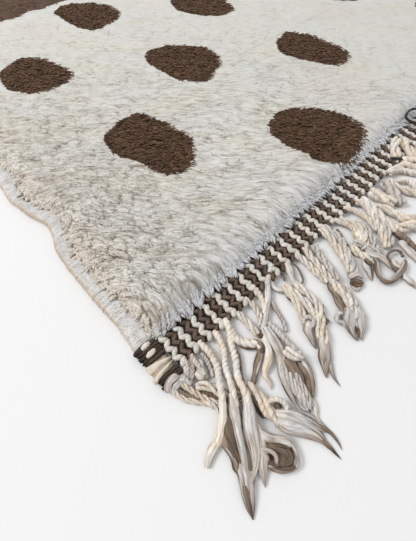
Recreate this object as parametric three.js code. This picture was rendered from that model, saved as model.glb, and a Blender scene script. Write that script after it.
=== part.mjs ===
// Hand-knotted wool shag rug: a thick cream pile with brown spots and a brown middle section,
// wrapped selvedges, a twined band at each end, wrapped corners and a corded fringe at one end.
// Millimetres, +Z up. The rug lies flat on z = 0, X runs across it and Y along it, fringe at -Y.
import * as THREE from 'three';
import { mergeVertices } from 'three/addons/utils/BufferGeometryUtils.js';

// Cloth
const PILE_WIDTH = 1500;
const PILE_LENGTH = 2250;
const CLEARANCE = 0.3;

// Pile: a lumpy slab with its ground weave, and locks of yarn that hang over its rim
const PILE_HEIGHT = 22.5;
const PILE_LUMP = 2.4;
const PILE_COLUMNS = 28;
const PILE_ROWS = 42;
const CELL_JITTER = 9;
const SHOULDER_HEIGHT = 21;
const RIM_HEIGHT = 17;
const LOCK_ROOT = 11;
const LOCK_TIP = 11.4;
const LOCK_REACH_END = 13;
const LOCK_REACH_SIDE = 6;
const LOCK_SKEW = 7;

// Selvedge: a wrapped cord, flat below, drawn here from its outer edge inwards
const SELVEDGE_WIDTH = 20;
const SELVEDGE_PROFILE = [
  { across: 3.0, up: 0 },
  { across: 20.0, up: 0 },
  { across: 20.0, up: 3.2 },
  { across: 17.0, up: 7.0 },
  { across: 11.5, up: 9.4 },
  { across: 5.0, up: 8.6 },
  { across: 0.8, up: 5.4 },
  { across: 0.4, up: 2.4 },
];
const WAVE_DEPTH = 1.6;
const WAVE_LENGTH = 310;
const WAVE_FADE = 40;

// Places where a selvedge is drawn in, measured from the front end of the pile
const DRAWN_IN = [
  { side: -1, at: 212, depth: 10, reach: 34 },
  { side: -1, at: 655, depth: 6, reach: 48 },
  { side: -1, at: 1190, depth: 7, reach: 42 },
  { side: -1, at: 1745, depth: 5, reach: 52 },
  { side: 1, at: 330, depth: 6, reach: 44 },
  { side: 1, at: 905, depth: 8, reach: 40 },
  { side: 1, at: 1510, depth: 5, reach: 46 },
  { side: 1, at: 2010, depth: 7, reach: 38 },
];

// Twined end bands: cream and brown ribs side by side
const BAND_WIDTH = 42;
const BAND_VALLEY = 5.6;
const RIB_REPEATS = 82;
const RIBS = [
  { share: 0.58, crest: 7.2 },
  { share: 0.42, crest: 8.2 },
];

// Corner wraps, from the pile outwards: the edge cord wound in turn with brown and cream yarn
const CORNER_SETS = [
  { name: 'brown_inner', length: 20, width: 21, swell: 1.1, brown: true },
  { name: 'cream_inner', length: 15.5, width: 20, swell: 1.0, brown: false },
  { name: 'brown_outer', length: 10, width: 17.5, swell: 1.0, brown: true },
  { name: 'cream_outer', length: 9, width: 13, swell: 0.8, brown: false },
];
const CORNER_OUTSET = 5;
const WRAP_WAIST = { outset: 0.7, height: 0.94 };
const WRAP_SWELL_HEIGHT = 0.06;

// Fringe: a narrow heading strip with the loose warp cords, each a flat-bottomed three-sided strand
const HEADING_DEPTH = 7;
const HEADING_HEIGHT = 5.6;
const STRANDS = 144;
const STRAND_WIDTH = 4.6;
const STRAND_HEIGHT = 4.2;
const STRAND_TIP = 0.45;
const TAPER_START = 0.7;
const STRAND_STEPS = 6;
const STRAND_LENGTH = 104;
const STRAND_LENGTH_SPREAD = 24;
const STRAND_VARIATION = 0.12;
const GROUP_MIN = 2;
const GROUP_EXTRA = 3;
const GROUP_PULL = 0.36;
const GROUP_DRIFT = 7;
const CORNER_FAN = { drift: -38, ends_at: 150 };

// Finishes
const CREAM_PILE = { color: 0xd9d4c8, roughness: 0.95, metalness: 0 };
const CREAM_CORD = { color: 0xd8cdb9, roughness: 0.9, metalness: 0 };
const CREAM_WRAP = { color: 0xdcd6ca, roughness: 0.9, metalness: 0 };
const BROWN_WRAP = { color: 0x4a3529, roughness: 0.92, metalness: 0 };
const TWO_TONE_BAND = { color: 0x9a8c7c, roughness: 0.92, metalness: 0 };

// Even spread of numbers from 0 to 1 that is the same on every run
function randomFrom(seed) {
  let state = seed;
  return () => {
    state = (state * 1664525 + 1013904223) % 4294967296;
    return state / 4294967296;
  };
}

// A closed skin gathered face by face, its corners merged at the end
class Skin {
  constructor() {
    this.corners = [];
  }

  tri(a, b, c) {
    this.corners.push(...a, ...b, ...c);
  }

  quad(a, b, c, d) {
    this.tri(a, b, c);
    this.tri(a, c, d);
  }

  fan(ring) {
    for (let i = 1; i + 1 < ring.length; i += 1) {
      this.tri(ring[0], ring[i], ring[i + 1]);
    }
  }

  geometry() {
    const soup = new THREE.BufferGeometry();
    soup.setAttribute('position', new THREE.Float32BufferAttribute(this.corners, 3));
    const closed = mergeVertices(soup, 1e-4);
    closed.computeVertexNormals();
    return closed;
  }
}

// Skin over a row of like rings, closed at both ends
function loft(rings) {
  const skin = new Skin();
  for (let i = 0; i + 1 < rings.length; i += 1) {
    const near = rings[i];
    const far = rings[i + 1];
    for (let j = 0; j < near.length; j += 1) {
      const k = (j + 1) % near.length;
      skin.quad(near[j], near[k], far[k], far[j]);
    }
  }
  skin.fan([...rings[0]].reverse());
  skin.fan(rings[rings.length - 1]);
  return skin.geometry();
}

function named(name, geometry, finish) {
  const mesh = new THREE.Mesh(geometry, new THREE.MeshStandardMaterial(finish));
  mesh.name = name;
  return mesh;
}

// How far the edge of the cloth lies outside its straight line, on one side (-1 left, 1 right)
function edgeShift(along, side) {
  const wave = WAVE_DEPTH * Math.sin((2 * Math.PI * along) / WAVE_LENGTH + side);
  const fade = Math.min(1, along / WAVE_FADE, (PILE_LENGTH - along) / WAVE_FADE);
  const dents = DRAWN_IN.filter((dent) => dent.side === side);
  const drawn = dents.reduce((sum, dent) => {
    const away = (along - dent.at) / dent.reach;
    return sum + dent.depth * Math.exp(-away * away);
  }, 0);
  return wave * fade - drawn;
}

function rowAt(row) {
  return (PILE_LENGTH * row) / PILE_ROWS;
}

// Pile surface points, row by row, lower at the rim than inside
function pileSurface() {
  const random = randomFrom(11);
  const rows = [];
  for (let row = 0; row <= PILE_ROWS; row += 1) {
    const along = rowAt(row);
    const left = -PILE_WIDTH / 2 - edgeShift(along, -1);
    const right = PILE_WIDTH / 2 + edgeShift(along, 1);
    const points = [];
    for (let column = 0; column <= PILE_COLUMNS; column += 1) {
      const inset = Math.min(row, PILE_ROWS - row, column, PILE_COLUMNS - column);
      const base = [RIM_HEIGHT, SHOULDER_HEIGHT, PILE_HEIGHT][Math.min(inset, 2)];
      const lump = PILE_LUMP * (2 * random() - 1) * (inset === 0 ? 0.4 : 1);
      const jitter = inset === 0 ? 0 : CELL_JITTER;
      const x = left + ((right - left) * column) / PILE_COLUMNS + jitter * (2 * random() - 1);
      const y = along + jitter * (2 * random() - 1);
      points.push([x, y, base + lump]);
    }
    rows.push(points);
  }
  return rows;
}

// The rim of the pile surface, anticlockwise from above, starting at the front left corner
function rimOf(rows) {
  const front = rows[0].slice(0, -1);
  const right = rows.slice(0, -1).map((points) => points[PILE_COLUMNS]);
  const back = rows[PILE_ROWS].slice(1).reverse();
  const left = rows.slice(1).reverse().map((points) => points[0]);
  return [...front, ...right, ...back, ...left];
}

function pileField() {
  const random = randomFrom(23);
  const skin = new Skin();
  const rows = pileSurface();
  for (let row = 0; row < PILE_ROWS; row += 1) {
    for (let column = 0; column < PILE_COLUMNS; column += 1) {
      const near = rows[row];
      const far = rows[row + 1];
      skin.quad(near[column], near[column + 1], far[column + 1], far[column]);
    }
  }
  const rim = rimOf(rows);
  const middle = [0, PILE_LENGTH / 2, 0];
  rim.forEach((top, i) => {
    const nextTop = rim[(i + 1) % rim.length];
    const foot = [top[0], top[1], 0];
    const nextFoot = [nextTop[0], nextTop[1], 0];
    const root = [top[0], top[1], LOCK_ROOT];
    const nextRoot = [nextTop[0], nextTop[1], LOCK_ROOT];
    const run = new THREE.Vector2(nextTop[0] - top[0], nextTop[1] - top[1]).normalize();
    const onEnd = Math.abs(run.y) < 0.5;
    const reach = (onEnd ? LOCK_REACH_END : LOCK_REACH_SIDE) * (0.75 + 0.5 * random());
    const skew = LOCK_SKEW * (2 * random() - 1);
    const tip = [
      (top[0] + nextTop[0]) / 2 + run.y * reach + run.x * skew,
      (top[1] + nextTop[1]) / 2 - run.x * reach + run.y * skew,
      LOCK_TIP,
    ];
    skin.quad(foot, nextFoot, nextRoot, root);
    skin.tri(root, nextRoot, tip);
    skin.tri(nextRoot, nextTop, tip);
    skin.tri(nextTop, top, tip);
    skin.tri(top, root, tip);
    skin.tri(middle, nextFoot, foot);
  });
  return named('pile_field', skin.geometry(), CREAM_PILE);
}

// One ring of the edge cord at a place along the rug, its outer edge at `outer`, `width` wide
function cordRing(outer, y, side, width, heightScale) {
  const ring = SELVEDGE_PROFILE.map((point) => [
    side * (outer - (point.across * width) / SELVEDGE_WIDTH),
    y,
    point.up * heightScale,
  ]);
  return side < 0 ? ring : ring.reverse();
}

function selvedge(name, side) {
  const rings = [];
  for (let row = PILE_ROWS; row >= 0; row -= 1) {
    const along = rowAt(row);
    const outer = PILE_WIDTH / 2 + CLEARANCE + SELVEDGE_WIDTH + edgeShift(along, side);
    rings.push(cordRing(outer, along, side, SELVEDGE_WIDTH, 1));
  }
  return named(name, loft(rings), CREAM_WRAP);
}

// The wrapped sets of one corner, each fullest at its middle, leading away from the pile
function cornerWraps(endName, start, direction, sideName, side) {
  let at = start + direction * CLEARANCE;
  return CORNER_SETS.map((set) => {
    const inner = PILE_WIDTH / 2 + CLEARANCE;
    const stations = [0, 0.5, 1].map((share) => {
      const swollen = share === 0.5;
      const width = set.width + CORNER_OUTSET * (swollen ? 1 : WRAP_WAIST.outset);
      const height = WRAP_WAIST.height + (swollen ? WRAP_SWELL_HEIGHT * set.swell : 0);
      const y = at + direction * set.length * share;
      return cordRing(inner + width, y, side, width, (height * set.width) / SELVEDGE_WIDTH);
    });
    at += direction * (set.length + CLEARANCE);
    const rings = direction < 0 ? stations : stations.reverse();
    const finish = set.brown ? BROWN_WRAP : CREAM_WRAP;
    return named(`corner_${endName}_${sideName}_${set.name}`, loft(rings), finish);
  });
}

// A twined band, its ribs running along the rug and side by side across it
function endBand(name, outerEdge) {
  const profile = new THREE.Shape();
  const half = PILE_WIDTH / 2;
  const repeat = PILE_WIDTH / RIB_REPEATS;
  profile.moveTo(-half, 0);
  profile.lineTo(half, 0);
  profile.lineTo(half, BAND_VALLEY);
  for (let i = RIB_REPEATS - 1; i >= 0; i -= 1) {
    let right = -half + repeat * (i + 1);
    [...RIBS].reverse().forEach((rib) => {
      const width = repeat * rib.share;
      profile.lineTo(right - width / 2, rib.crest);
      profile.lineTo(right - width, BAND_VALLEY);
      right -= width;
    });
  }
  const geometry = new THREE.ExtrudeGeometry(profile, { depth: BAND_WIDTH, bevelEnabled: false });
  geometry.rotateX(Math.PI / 2);
  geometry.translate(0, outerEdge + BAND_WIDTH, 0);
  return named(name, geometry, TWO_TONE_BAND);
}

// Strands gathered into small groups that pull together and drift to one side
function strandGroups() {
  const random = randomFrom(37);
  const spacing = (PILE_WIDTH - SELVEDGE_WIDTH) / STRANDS;
  const groups = [];
  let first = 0;
  while (first < STRANDS) {
    const wanted = GROUP_MIN + Math.floor(random() * (GROUP_EXTRA + 1));
    const count = Math.min(wanted, STRANDS - first);
    const centre = (first + count / 2 - STRANDS / 2) * spacing;
    const drift = GROUP_DRIFT * (2 * random() - 1);
    const length = STRAND_LENGTH + STRAND_LENGTH_SPREAD * (2 * random() - 1);
    groups.push({ first, count, centre, drift, length });
    first += count;
  }
  return { groups, spacing };
}

// Side shift of the cords at the front left corner, which fan out past the corner
function cornerFan(x) {
  const fromCorner = x + PILE_WIDTH / 2;
  const share = Math.max(0, 1 - fromCorner / CORNER_FAN.ends_at);
  return CORNER_FAN.drift * share;
}

// Middle line of a strand in the floor plane, from its root at the heading to its tip. Its group
// is closest together a little past halfway, and the side drift grows smoothly from nothing.
function strandPath(root, group, length, headingFront) {
  const stations = [];
  for (let step = 0; step <= STRAND_STEPS; step += 1) {
    const t = step / STRAND_STEPS;
    const pull = GROUP_PULL * Math.sin(Math.PI * t ** 1.2);
    const sway = (group.drift + cornerFan(root)) * t * t;
    const x = group.centre + (root - group.centre) * (1 - pull) + sway;
    stations.push(new THREE.Vector2(x, headingFront - length * t));
  }
  return stations;
}

// Left, right and top corner of a strand's section, its left and right ones on the floor
function strandSection(path, step) {
  const before = path[Math.max(0, step - 1)];
  const after = path[Math.min(path.length - 1, step + 1)];
  const heading = step === 0 ? new THREE.Vector2(0, -1) : after.clone().sub(before).normalize();
  const side = new THREE.Vector2(-heading.y, heading.x);
  const late = Math.max(0, (step / STRAND_STEPS - TAPER_START) / (1 - TAPER_START));
  const size = 1 - (1 - STRAND_TIP) * late;
  const half = (size * STRAND_WIDTH) / 2;
  const at = path[step];
  return {
    left: [at.x - side.x * half, at.y - side.y * half, 0],
    right: [at.x + side.x * half, at.y + side.y * half, 0],
    top: [at.x, at.y, size * STRAND_HEIGHT],
  };
}

// One bay of the heading strip, its front wall open where the strand's root grows out of it
function headingBay(skin, from, to, front, root) {
  const back = front + HEADING_DEPTH;
  const frontFoot = [from, front, 0];
  const nextFrontFoot = [to, front, 0];
  const frontTop = [from, front, HEADING_HEIGHT];
  const nextFrontTop = [to, front, HEADING_HEIGHT];
  const backFoot = [from, back, 0];
  const nextBackFoot = [to, back, 0];
  const backTop = [from, back, HEADING_HEIGHT];
  const nextBackTop = [to, back, HEADING_HEIGHT];
  skin.quad(frontTop, nextFrontTop, nextBackTop, backTop);
  skin.quad(nextBackFoot, backFoot, backTop, nextBackTop);
  skin.tri(frontFoot, root.left, root.top);
  skin.tri(frontFoot, root.top, frontTop);
  skin.tri(frontTop, root.top, nextFrontTop);
  skin.tri(root.top, nextFrontFoot, nextFrontTop);
  skin.tri(root.top, root.right, nextFrontFoot);
  skin.tri(backFoot, root.left, frontFoot);
  skin.tri(backFoot, root.right, root.left);
  skin.tri(backFoot, nextFrontFoot, root.right);
  skin.tri(backFoot, nextBackFoot, nextFrontFoot);
}

function headingEnd(skin, x, front, side) {
  const back = front + HEADING_DEPTH;
  const ring = [
    [x, front, 0],
    [x, back, 0],
    [x, back, HEADING_HEIGHT],
    [x, front, HEADING_HEIGHT],
  ];
  skin.fan(side > 0 ? ring : ring.reverse());
}

function fringe(bandFront) {
  const random = randomFrom(53);
  const skin = new Skin();
  const front = bandFront - CLEARANCE - HEADING_DEPTH;
  const { groups, spacing } = strandGroups();
  groups.forEach((group) => {
    for (let k = 0; k < group.count; k += 1) {
      const root = (group.first + k + 0.5 - STRANDS / 2) * spacing;
      const length = group.length * (1 + STRAND_VARIATION * (2 * random() - 1));
      const path = strandPath(root, group, length, front);
      let near = strandSection(path, 0);
      headingBay(skin, root - spacing / 2, root + spacing / 2, front, near);
      for (let step = 1; step <= STRAND_STEPS; step += 1) {
        const far = strandSection(path, step);
        skin.quad(near.left, near.right, far.right, far.left);
        skin.quad(near.right, near.top, far.top, far.right);
        skin.quad(near.top, near.left, far.left, far.top);
        near = far;
      }
      skin.tri(near.left, near.right, near.top);
    }
  });
  headingEnd(skin, (-STRANDS / 2) * spacing, front, -1);
  headingEnd(skin, (STRANDS / 2) * spacing, front, 1);
  return named('fringe', skin.geometry(), CREAM_CORD);
}

// The whole rug, first with the front end of its pile at y = 0
function buildRug() {
  const frontBandFront = -CLEARANCE - BAND_WIDTH;
  const backBandFront = PILE_LENGTH + CLEARANCE;
  const rug = new THREE.Group();
  rug.add(pileField());
  rug.add(selvedge('selvedge_left', -1));
  rug.add(selvedge('selvedge_right', 1));
  rug.add(endBand('end_band_front', frontBandFront));
  rug.add(endBand('end_band_back', backBandFront));
  rug.add(...cornerWraps('front', 0, -1, 'left', -1));
  rug.add(...cornerWraps('front', 0, -1, 'right', 1));
  rug.add(...cornerWraps('back', PILE_LENGTH, 1, 'left', -1));
  rug.add(...cornerWraps('back', PILE_LENGTH, 1, 'right', 1));
  rug.add(fringe(frontBandFront));
  return rug;
}

const rug = buildRug();

// The middle of the whole rug's footprint comes to the origin
const middle = new THREE.Box3().setFromObject(rug).getCenter(new THREE.Vector3());
rug.position.set(-middle.x, -middle.y, 0);

export default rug;
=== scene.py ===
import math

import bpy
import numpy as np
from mathutils import Matrix, Vector


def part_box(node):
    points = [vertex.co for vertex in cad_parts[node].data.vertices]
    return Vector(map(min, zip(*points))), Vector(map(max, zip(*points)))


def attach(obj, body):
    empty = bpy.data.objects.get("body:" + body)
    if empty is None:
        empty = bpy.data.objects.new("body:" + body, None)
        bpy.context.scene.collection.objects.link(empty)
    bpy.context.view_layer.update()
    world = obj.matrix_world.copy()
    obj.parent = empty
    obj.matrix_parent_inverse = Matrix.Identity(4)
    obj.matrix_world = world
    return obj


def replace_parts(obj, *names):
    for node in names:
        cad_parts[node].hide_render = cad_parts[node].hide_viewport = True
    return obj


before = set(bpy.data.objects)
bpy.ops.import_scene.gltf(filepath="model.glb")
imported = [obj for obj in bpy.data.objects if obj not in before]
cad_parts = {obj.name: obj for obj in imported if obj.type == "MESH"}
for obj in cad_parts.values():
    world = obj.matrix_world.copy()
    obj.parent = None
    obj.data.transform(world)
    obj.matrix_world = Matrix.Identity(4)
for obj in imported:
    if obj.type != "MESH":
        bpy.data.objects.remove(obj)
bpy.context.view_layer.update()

# Places taken from the frame, in metres. The seen corner of the rug is the front left one.
MM = 0.001
GAP = 0.3 * MM
FLOOR_GAP = 0.1 * MM
band_low, band_high = (np.array(corner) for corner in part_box("end_band_front"))
back_low, back_high = (np.array(corner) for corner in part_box("end_band_back"))
LEFT, RIGHT = band_low[0], band_high[0]
FRONT, BACK = band_high[1] + GAP, back_low[1] - GAP
WIDTH, LENGTH = RIGHT - LEFT, BACK - FRONT
HEADING_WIDTH = 7 * MM
HEADING_FRONT = band_low[1] - GAP - HEADING_WIDTH

# Selvedge: width and wave as in the solids, and the places where its edge is drawn in or stands out
SELVEDGE_WIDTH = 20 * MM
WAVE_DEPTH = 1.6 * MM
WAVE_LENGTH = 310 * MM
WAVE_FADE = 40 * MM
DRAWN_IN = [
    {"side": -1, "at": 0.201, "depth": 0.0130, "reach": 0.029},
    {"side": -1, "at": 0.000, "depth": -0.0025, "reach": 0.016},
    {"side": -1, "at": 0.280, "depth": -0.0050, "reach": 0.028},
    {"side": -1, "at": 0.655, "depth": 0.006, "reach": 0.048},
    {"side": -1, "at": 1.190, "depth": 0.007, "reach": 0.042},
    {"side": -1, "at": 1.745, "depth": 0.005, "reach": 0.052},
    {"side": 1, "at": 0.330, "depth": 0.006, "reach": 0.044},
    {"side": 1, "at": 0.905, "depth": 0.008, "reach": 0.040},
    {"side": 1, "at": 1.510, "depth": 0.005, "reach": 0.046},
    {"side": 1, "at": 2.010, "depth": 0.007, "reach": 0.038},
]

# Pattern: spots in a staggered lattice, then a brown middle section
SPOT_ALONG, SPOT_ACROSS = 0.288, 0.200
SPOT_RADII = (0.057, 0.072)
SPOT_COLUMNS = 7
FIRST_SPOT = (0.177, 0.221)
FAR_COLUMNS_SHIFT = 0.085
SECTION = 0.750
SEEN_SPOTS = [
    {"u": 0.191, "v": 0.226, "across": 0.048, "along": 0.075, "turn": 0, "point": 46},
    {"u": 0.394, "v": 0.071, "across": 0.058, "along": 0.069, "turn": 19, "point": -31},
    {"u": 0.383, "v": 0.363, "across": 0.056, "along": 0.071, "turn": 9, "point": -10},
    {"u": 0.588, "v": 0.234, "across": 0.048, "along": 0.072, "turn": 0, "point": 53},
    {"u": 0.156, "v": 0.509, "across": 0.049, "along": 0.065, "turn": 13, "point": 65},
    {"u": 0.353, "v": 0.652, "across": 0.054, "along": 0.073, "turn": 7, "point": -18},
    {"u": 0.577, "v": 0.526, "across": 0.056, "along": 0.070, "turn": 5, "point": 40},
    {"u": 0.862, "v": 0.374, "across": 0.057, "along": 0.071, "turn": 0, "point": -90},
    {"u": 0.961, "v": 0.128, "across": 0.057, "along": 0.071, "turn": 0, "point": 30},
]
SPOT_CLEARANCE = 0.15
SPOT_REACH = 0.16
SPOT_SQUARENESS, SPOT_POINTEDNESS = 2.3, 0.075
ROW_SLANT, ODD_COLUMN_SHIFT, FAR_HALF_SHIFT = 0.03, 0.008, 0.04

# Camera: the photograph's view of the corner, its place given from that corner of the rug
CAMERA_AT = (-0.0012, -0.0999, 0.2994)
CAMERA_HEADING = 44.25
CAMERA_PITCH = 60.71
CAMERA_ROLL = 0.61
FOCAL_PIXELS = 290.0
PHOTO_SIZE = (416.0, 541.0)
SENSOR = 36.0

# Cells of the tables of random numbers, and points between two places of a smooth curve
CELLS = 128
CURVE_STEPS = 12


def from_corner(u, v, z=0.0):
    """Frame coordinates of a place u across and v along the rug from its seen corner."""
    return np.array([LEFT - SELVEDGE_WIDTH - GAP + u, FRONT + v, z])


def camera_axes():
    """Right, up and forward of the camera."""
    heading, pitch, roll = (math.radians(a) for a in (CAMERA_HEADING, CAMERA_PITCH, CAMERA_ROLL))
    level = Vector((math.sin(heading), math.cos(heading), 0))
    flat_right = Vector((math.cos(heading), -math.sin(heading), 0))
    forward = level * math.cos(pitch) - Vector((0, 0, 1)) * math.sin(pitch)
    upright = level * math.sin(pitch) + Vector((0, 0, 1)) * math.cos(pitch)
    right = flat_right * math.cos(roll) + upright * math.sin(roll)
    return right, upright * math.cos(roll) - flat_right * math.sin(roll), forward


def seen(px, py, height):
    """Frame place, `height` millimetres above the floor, that the camera sees at a place in its picture."""
    right, up, forward = camera_axes()
    ray = forward * FOCAL_PIXELS + right * (px - PHOTO_SIZE[0] / 2) + up * (PHOTO_SIZE[1] / 2 - py)
    eye = from_corner(*CAMERA_AT)
    ray = np.array(ray)
    return eye + ray * (height * MM - eye[2]) / ray[2]


def edge_shift(along, side):
    """How far an edge of the cloth lies outside its straight line."""
    wave = WAVE_DEPTH * np.sin(2 * np.pi * along / WAVE_LENGTH + side)
    fade = np.clip(np.minimum(along, LENGTH - along) / WAVE_FADE, 0, 1)
    drawn = sum(
        dent["depth"] * np.exp(-(((along - dent["at"]) / dent["reach"]) ** 2))
        for dent in DRAWN_IN
        if dent["side"] == side
    )
    return wave * fade - drawn


def smooth(t):
    t = np.clip(t, 0, 1)
    return t * t * (3 - 2 * t)


def soft_noise(x, y, size, seed):
    """Smooth noise from -1 to 1 whose lumps are about `size` across."""
    table = np.random.default_rng(seed).uniform(-1, 1, (CELLS, CELLS))
    gx, gy = x / size, y / size
    ix, iy = np.floor(gx).astype(int), np.floor(gy).astype(int)
    fx, fy = smooth(gx - ix), smooth(gy - iy)
    a, b, c, d = (table[(ix + i) % CELLS, (iy + j) % CELLS] for j in (0, 1) for i in (0, 1))
    return (a * (1 - fx) + b * fx) * (1 - fy) + (c * (1 - fx) + d * fx) * fy


def line_noise(x, size, seed):
    """Smooth noise along a line."""
    return soft_noise(x, 0 * x, size, seed)


def each(value, count):
    """One number for each of `count` points."""
    return np.broadcast_to(np.asarray(value, float), (count,))


def add_object(name, data):
    obj = bpy.data.objects.new(name, data)
    bpy.context.scene.collection.objects.link(obj)
    return obj


class Heap:
    """Many small closed pieces gathered for one mesh, with a few marks on each point."""

    def __init__(self, *more_marks):
        self.points, self.tris, self.quads, self.undersides = [], [], [], []
        self.marks = {mark: [] for mark in ("tone", "tip", "around", "along", *more_marks)}
        self.count = 0

    def add(self, points, tris, quads, **marks):
        points = np.asarray(points, float).reshape(-1, 3)
        for faces, kept in ((tris, self.tris), (quads, self.quads)):
            if faces is not None:
                kept.append(faces.reshape(-1, faces.shape[-1]) + self.count)
        for mark, values in self.marks.items():
            values.append(each(np.ravel(marks.get(mark, 0.0)), len(points)))
        self.points.append(points)
        self.count += len(points)

    def piece(self, name, material, slot):
        points = np.concatenate(self.points)
        tris = np.concatenate([np.zeros((0, 3), int), *self.tris])
        quads = np.concatenate([np.zeros((0, 4), int), *self.quads])
        corners = np.concatenate([tris.ravel(), quads.ravel(), *self.undersides])
        sizes = [3] * len(tris) + [4] * len(quads) + [len(underside) for underside in self.undersides]
        starts = np.cumsum(sizes) - sizes
        mesh = bpy.data.meshes.new(name)
        mesh.vertices.add(len(points))
        mesh.vertices.foreach_set("co", points.ravel())
        mesh.loops.add(len(corners))
        mesh.loops.foreach_set("vertex_index", corners.astype(np.int32))
        mesh.polygons.add(len(starts))
        mesh.polygons.foreach_set("loop_start", starts.astype(np.int32))
        mesh.polygons.foreach_set("use_smooth", np.ones(len(starts), bool))
        mesh.update(calc_edges=True)
        for mark, values in self.marks.items():
            layer = mesh.attributes.new(mark, "FLOAT", "POINT")
            layer.data.foreach_set("value", np.concatenate(values).astype(np.float32))
        mesh.materials.append(material)
        obj = add_object(name, mesh)
        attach(obj, "root")
        return obj


def frames(path):
    """Side and upward direction at each point of a path."""
    tangent = np.gradient(path, axis=0)
    tangent /= np.linalg.norm(tangent, axis=1, keepdims=True) + 1e-12
    side = np.cross(tangent, [0.0, 0.0, 1.0])
    size = np.linalg.norm(side, axis=1, keepdims=True)
    side = np.where(size > 1e-3, side / np.maximum(size, 1e-9), [1.0, 0.0, 0.0])
    return side, np.cross(side, tangent)


def run_along(path):
    """Distance from the start of a path to each of its points."""
    return np.concatenate([[0.0], np.cumsum(np.linalg.norm(np.diff(path, axis=0), axis=1))])


def tube_faces(stations, sides):
    i = np.arange(stations - 1)[:, None] * sides
    k = np.arange(sides)[None, :]
    n = (k + 1) % sides
    return np.stack([i + k, i + n, i + sides + n, i + sides + k], axis=-1).reshape(-1, 4)


def end_caps(stations, sides):
    """Faces that close both ends of a tube."""
    k = np.arange(1, sides - 1)
    fan = np.stack([np.zeros_like(k), k, k + 1], axis=-1)
    return np.concatenate([fan[:, ::-1], fan + (stations - 1) * sides])


def grid_faces(columns, rows):
    """Faces of a grid of points, and its rim."""
    index = np.arange(columns * rows).reshape(columns, rows)
    a, b, c, d = index[:-1, :-1], index[1:, :-1], index[1:, 1:], index[:-1, 1:]
    rim = np.concatenate([index[:-1, 0], index[-1, :-1], index[:0:-1, -1], index[0, :0:-1]])
    return np.stack([a, b, c, d], axis=-1).reshape(-1, 4), rim


def wall_faces(rim, lower):
    return np.stack([rim, lower, np.roll(lower, -1), np.roll(rim, -1)], axis=-1)


def tube(heap, path, width, height, sides, tone, tip, turn=0.0):
    """A closed tube along a path, `width` across and `height` high, one size for each point."""
    path = np.asarray(path, float)
    count = len(path)
    side, up = frames(path)
    half_width, half_height = each(width, count) / 2, each(height, count) / 2
    angle = np.arange(sides) * 2 * np.pi / sides + turn
    rings = (
        path[:, None]
        + np.cos(angle)[None, :, None] * (up * half_height[:, None])[:, None]
        + np.sin(angle)[None, :, None] * (side * half_width[:, None])[:, None]
    )
    heap.add(
        rings, end_caps(count, sides), tube_faces(count, sides),
        tone=tone,
        tip=np.repeat(each(tip, count), sides),
        around=np.tile(np.arange(sides) / sides, count),
        along=np.repeat(run_along(path), sides) + tone,
    )


def smooth_path(points, step):
    """A smooth curve through given points, with even steps."""
    p = np.asarray(points, float)
    ends = np.concatenate([[2 * p[0] - p[1]], p, [2 * p[-1] - p[-2]]])
    t = np.linspace(0, 1, CURVE_STEPS, endpoint=False)[:, None]
    dense = []
    for a, b, c, d in zip(ends, ends[1:], ends[2:], ends[3:]):
        bend, twist = 2 * a - 5 * b + 4 * c - d, 3 * b - a - 3 * c + d
        dense.append(0.5 * (2 * b + (c - a) * t + bend * t**2 + twist * t**3))
    dense = np.concatenate([*dense, p[-1:]])
    run = run_along(dense)
    count = max(4, int(round(run[-1] / step)) + 1)
    even = np.linspace(0, run[-1], count)
    return np.stack([np.interp(even, run, dense[:, axis]) for axis in range(3)], axis=1)


# Materials
WHITE, BLACK = (1.0, 1.0, 1.0), (0.0, 0.0, 0.0)
WOOL_SHINE, SHEEN_ROUGHNESS = 0.25, 0.6
FIBRE_STRETCH = {"around": 5.0, "along": 110.0, "tone": 37.0}


def fill(tree, node, inputs):
    """Give sockets of a node numbers, colours, or links from other nodes."""
    for name, value in inputs.items():
        if isinstance(value, (int, float)):
            node.inputs[name].default_value = value
        elif isinstance(value, tuple):
            node.inputs[name].default_value = (*value, 1.0)
        else:
            tree.links.new(value, node.inputs[name])


def new_node(tree, kind, **inputs):
    node = tree.nodes.new(kind)
    fill(tree, node, inputs)
    return node


def new_material(name, roughness, sheen):
    material = bpy.data.materials.new(name)
    material.use_nodes = True
    tree = material.node_tree
    looks = {
        "Roughness": roughness, "Specular IOR Level": WOOL_SHINE, "Sheen Weight": sheen,
        "Sheen Roughness": SHEEN_ROUGHNESS,
    }
    fill(tree, tree.nodes["Principled BSDF"], looks)
    return material, tree


def finished(material, colour, *bumps):
    """The material with its colour and, where it has any, the height, strength and distance of its bumps."""
    tree = material.node_tree
    shader = tree.nodes["Principled BSDF"]
    fill(tree, shader, {"Base Color": colour})
    if bumps:
        node = new_node(tree, "ShaderNodeBump", **dict(zip(("Height", "Strength", "Distance"), bumps)))
        fill(tree, shader, {"Normal": node.outputs["Normal"]})
    return material


def attribute(tree, name):
    node = tree.nodes.new("ShaderNodeAttribute")
    node.attribute_name = name
    return node.outputs["Fac"]


def position(tree):
    return tree.nodes.new("ShaderNodeTexCoord").outputs["Object"]


def vector_of(tree, x, y, z):
    return new_node(tree, "ShaderNodeCombineXYZ", X=x, Y=y, Z=z).outputs["Vector"]


def noise(tree, vector, scale, detail=2.0, roughness=0.5):
    inputs = {"Vector": vector, "Scale": scale, "Detail": detail, "Roughness": roughness}
    return new_node(tree, "ShaderNodeTexNoise", **inputs).outputs["Fac"]


def ramp(tree, value, *stops):
    node = new_node(tree, "ShaderNodeValToRGB", Fac=value)
    elements = node.color_ramp.elements
    while len(elements) < len(stops):
        elements.new(0.5)
    for element, (place, colour) in zip(elements, stops):
        element.position = place
        element.color = (*colour, 1.0)
    return node.outputs["Color"]


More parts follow.
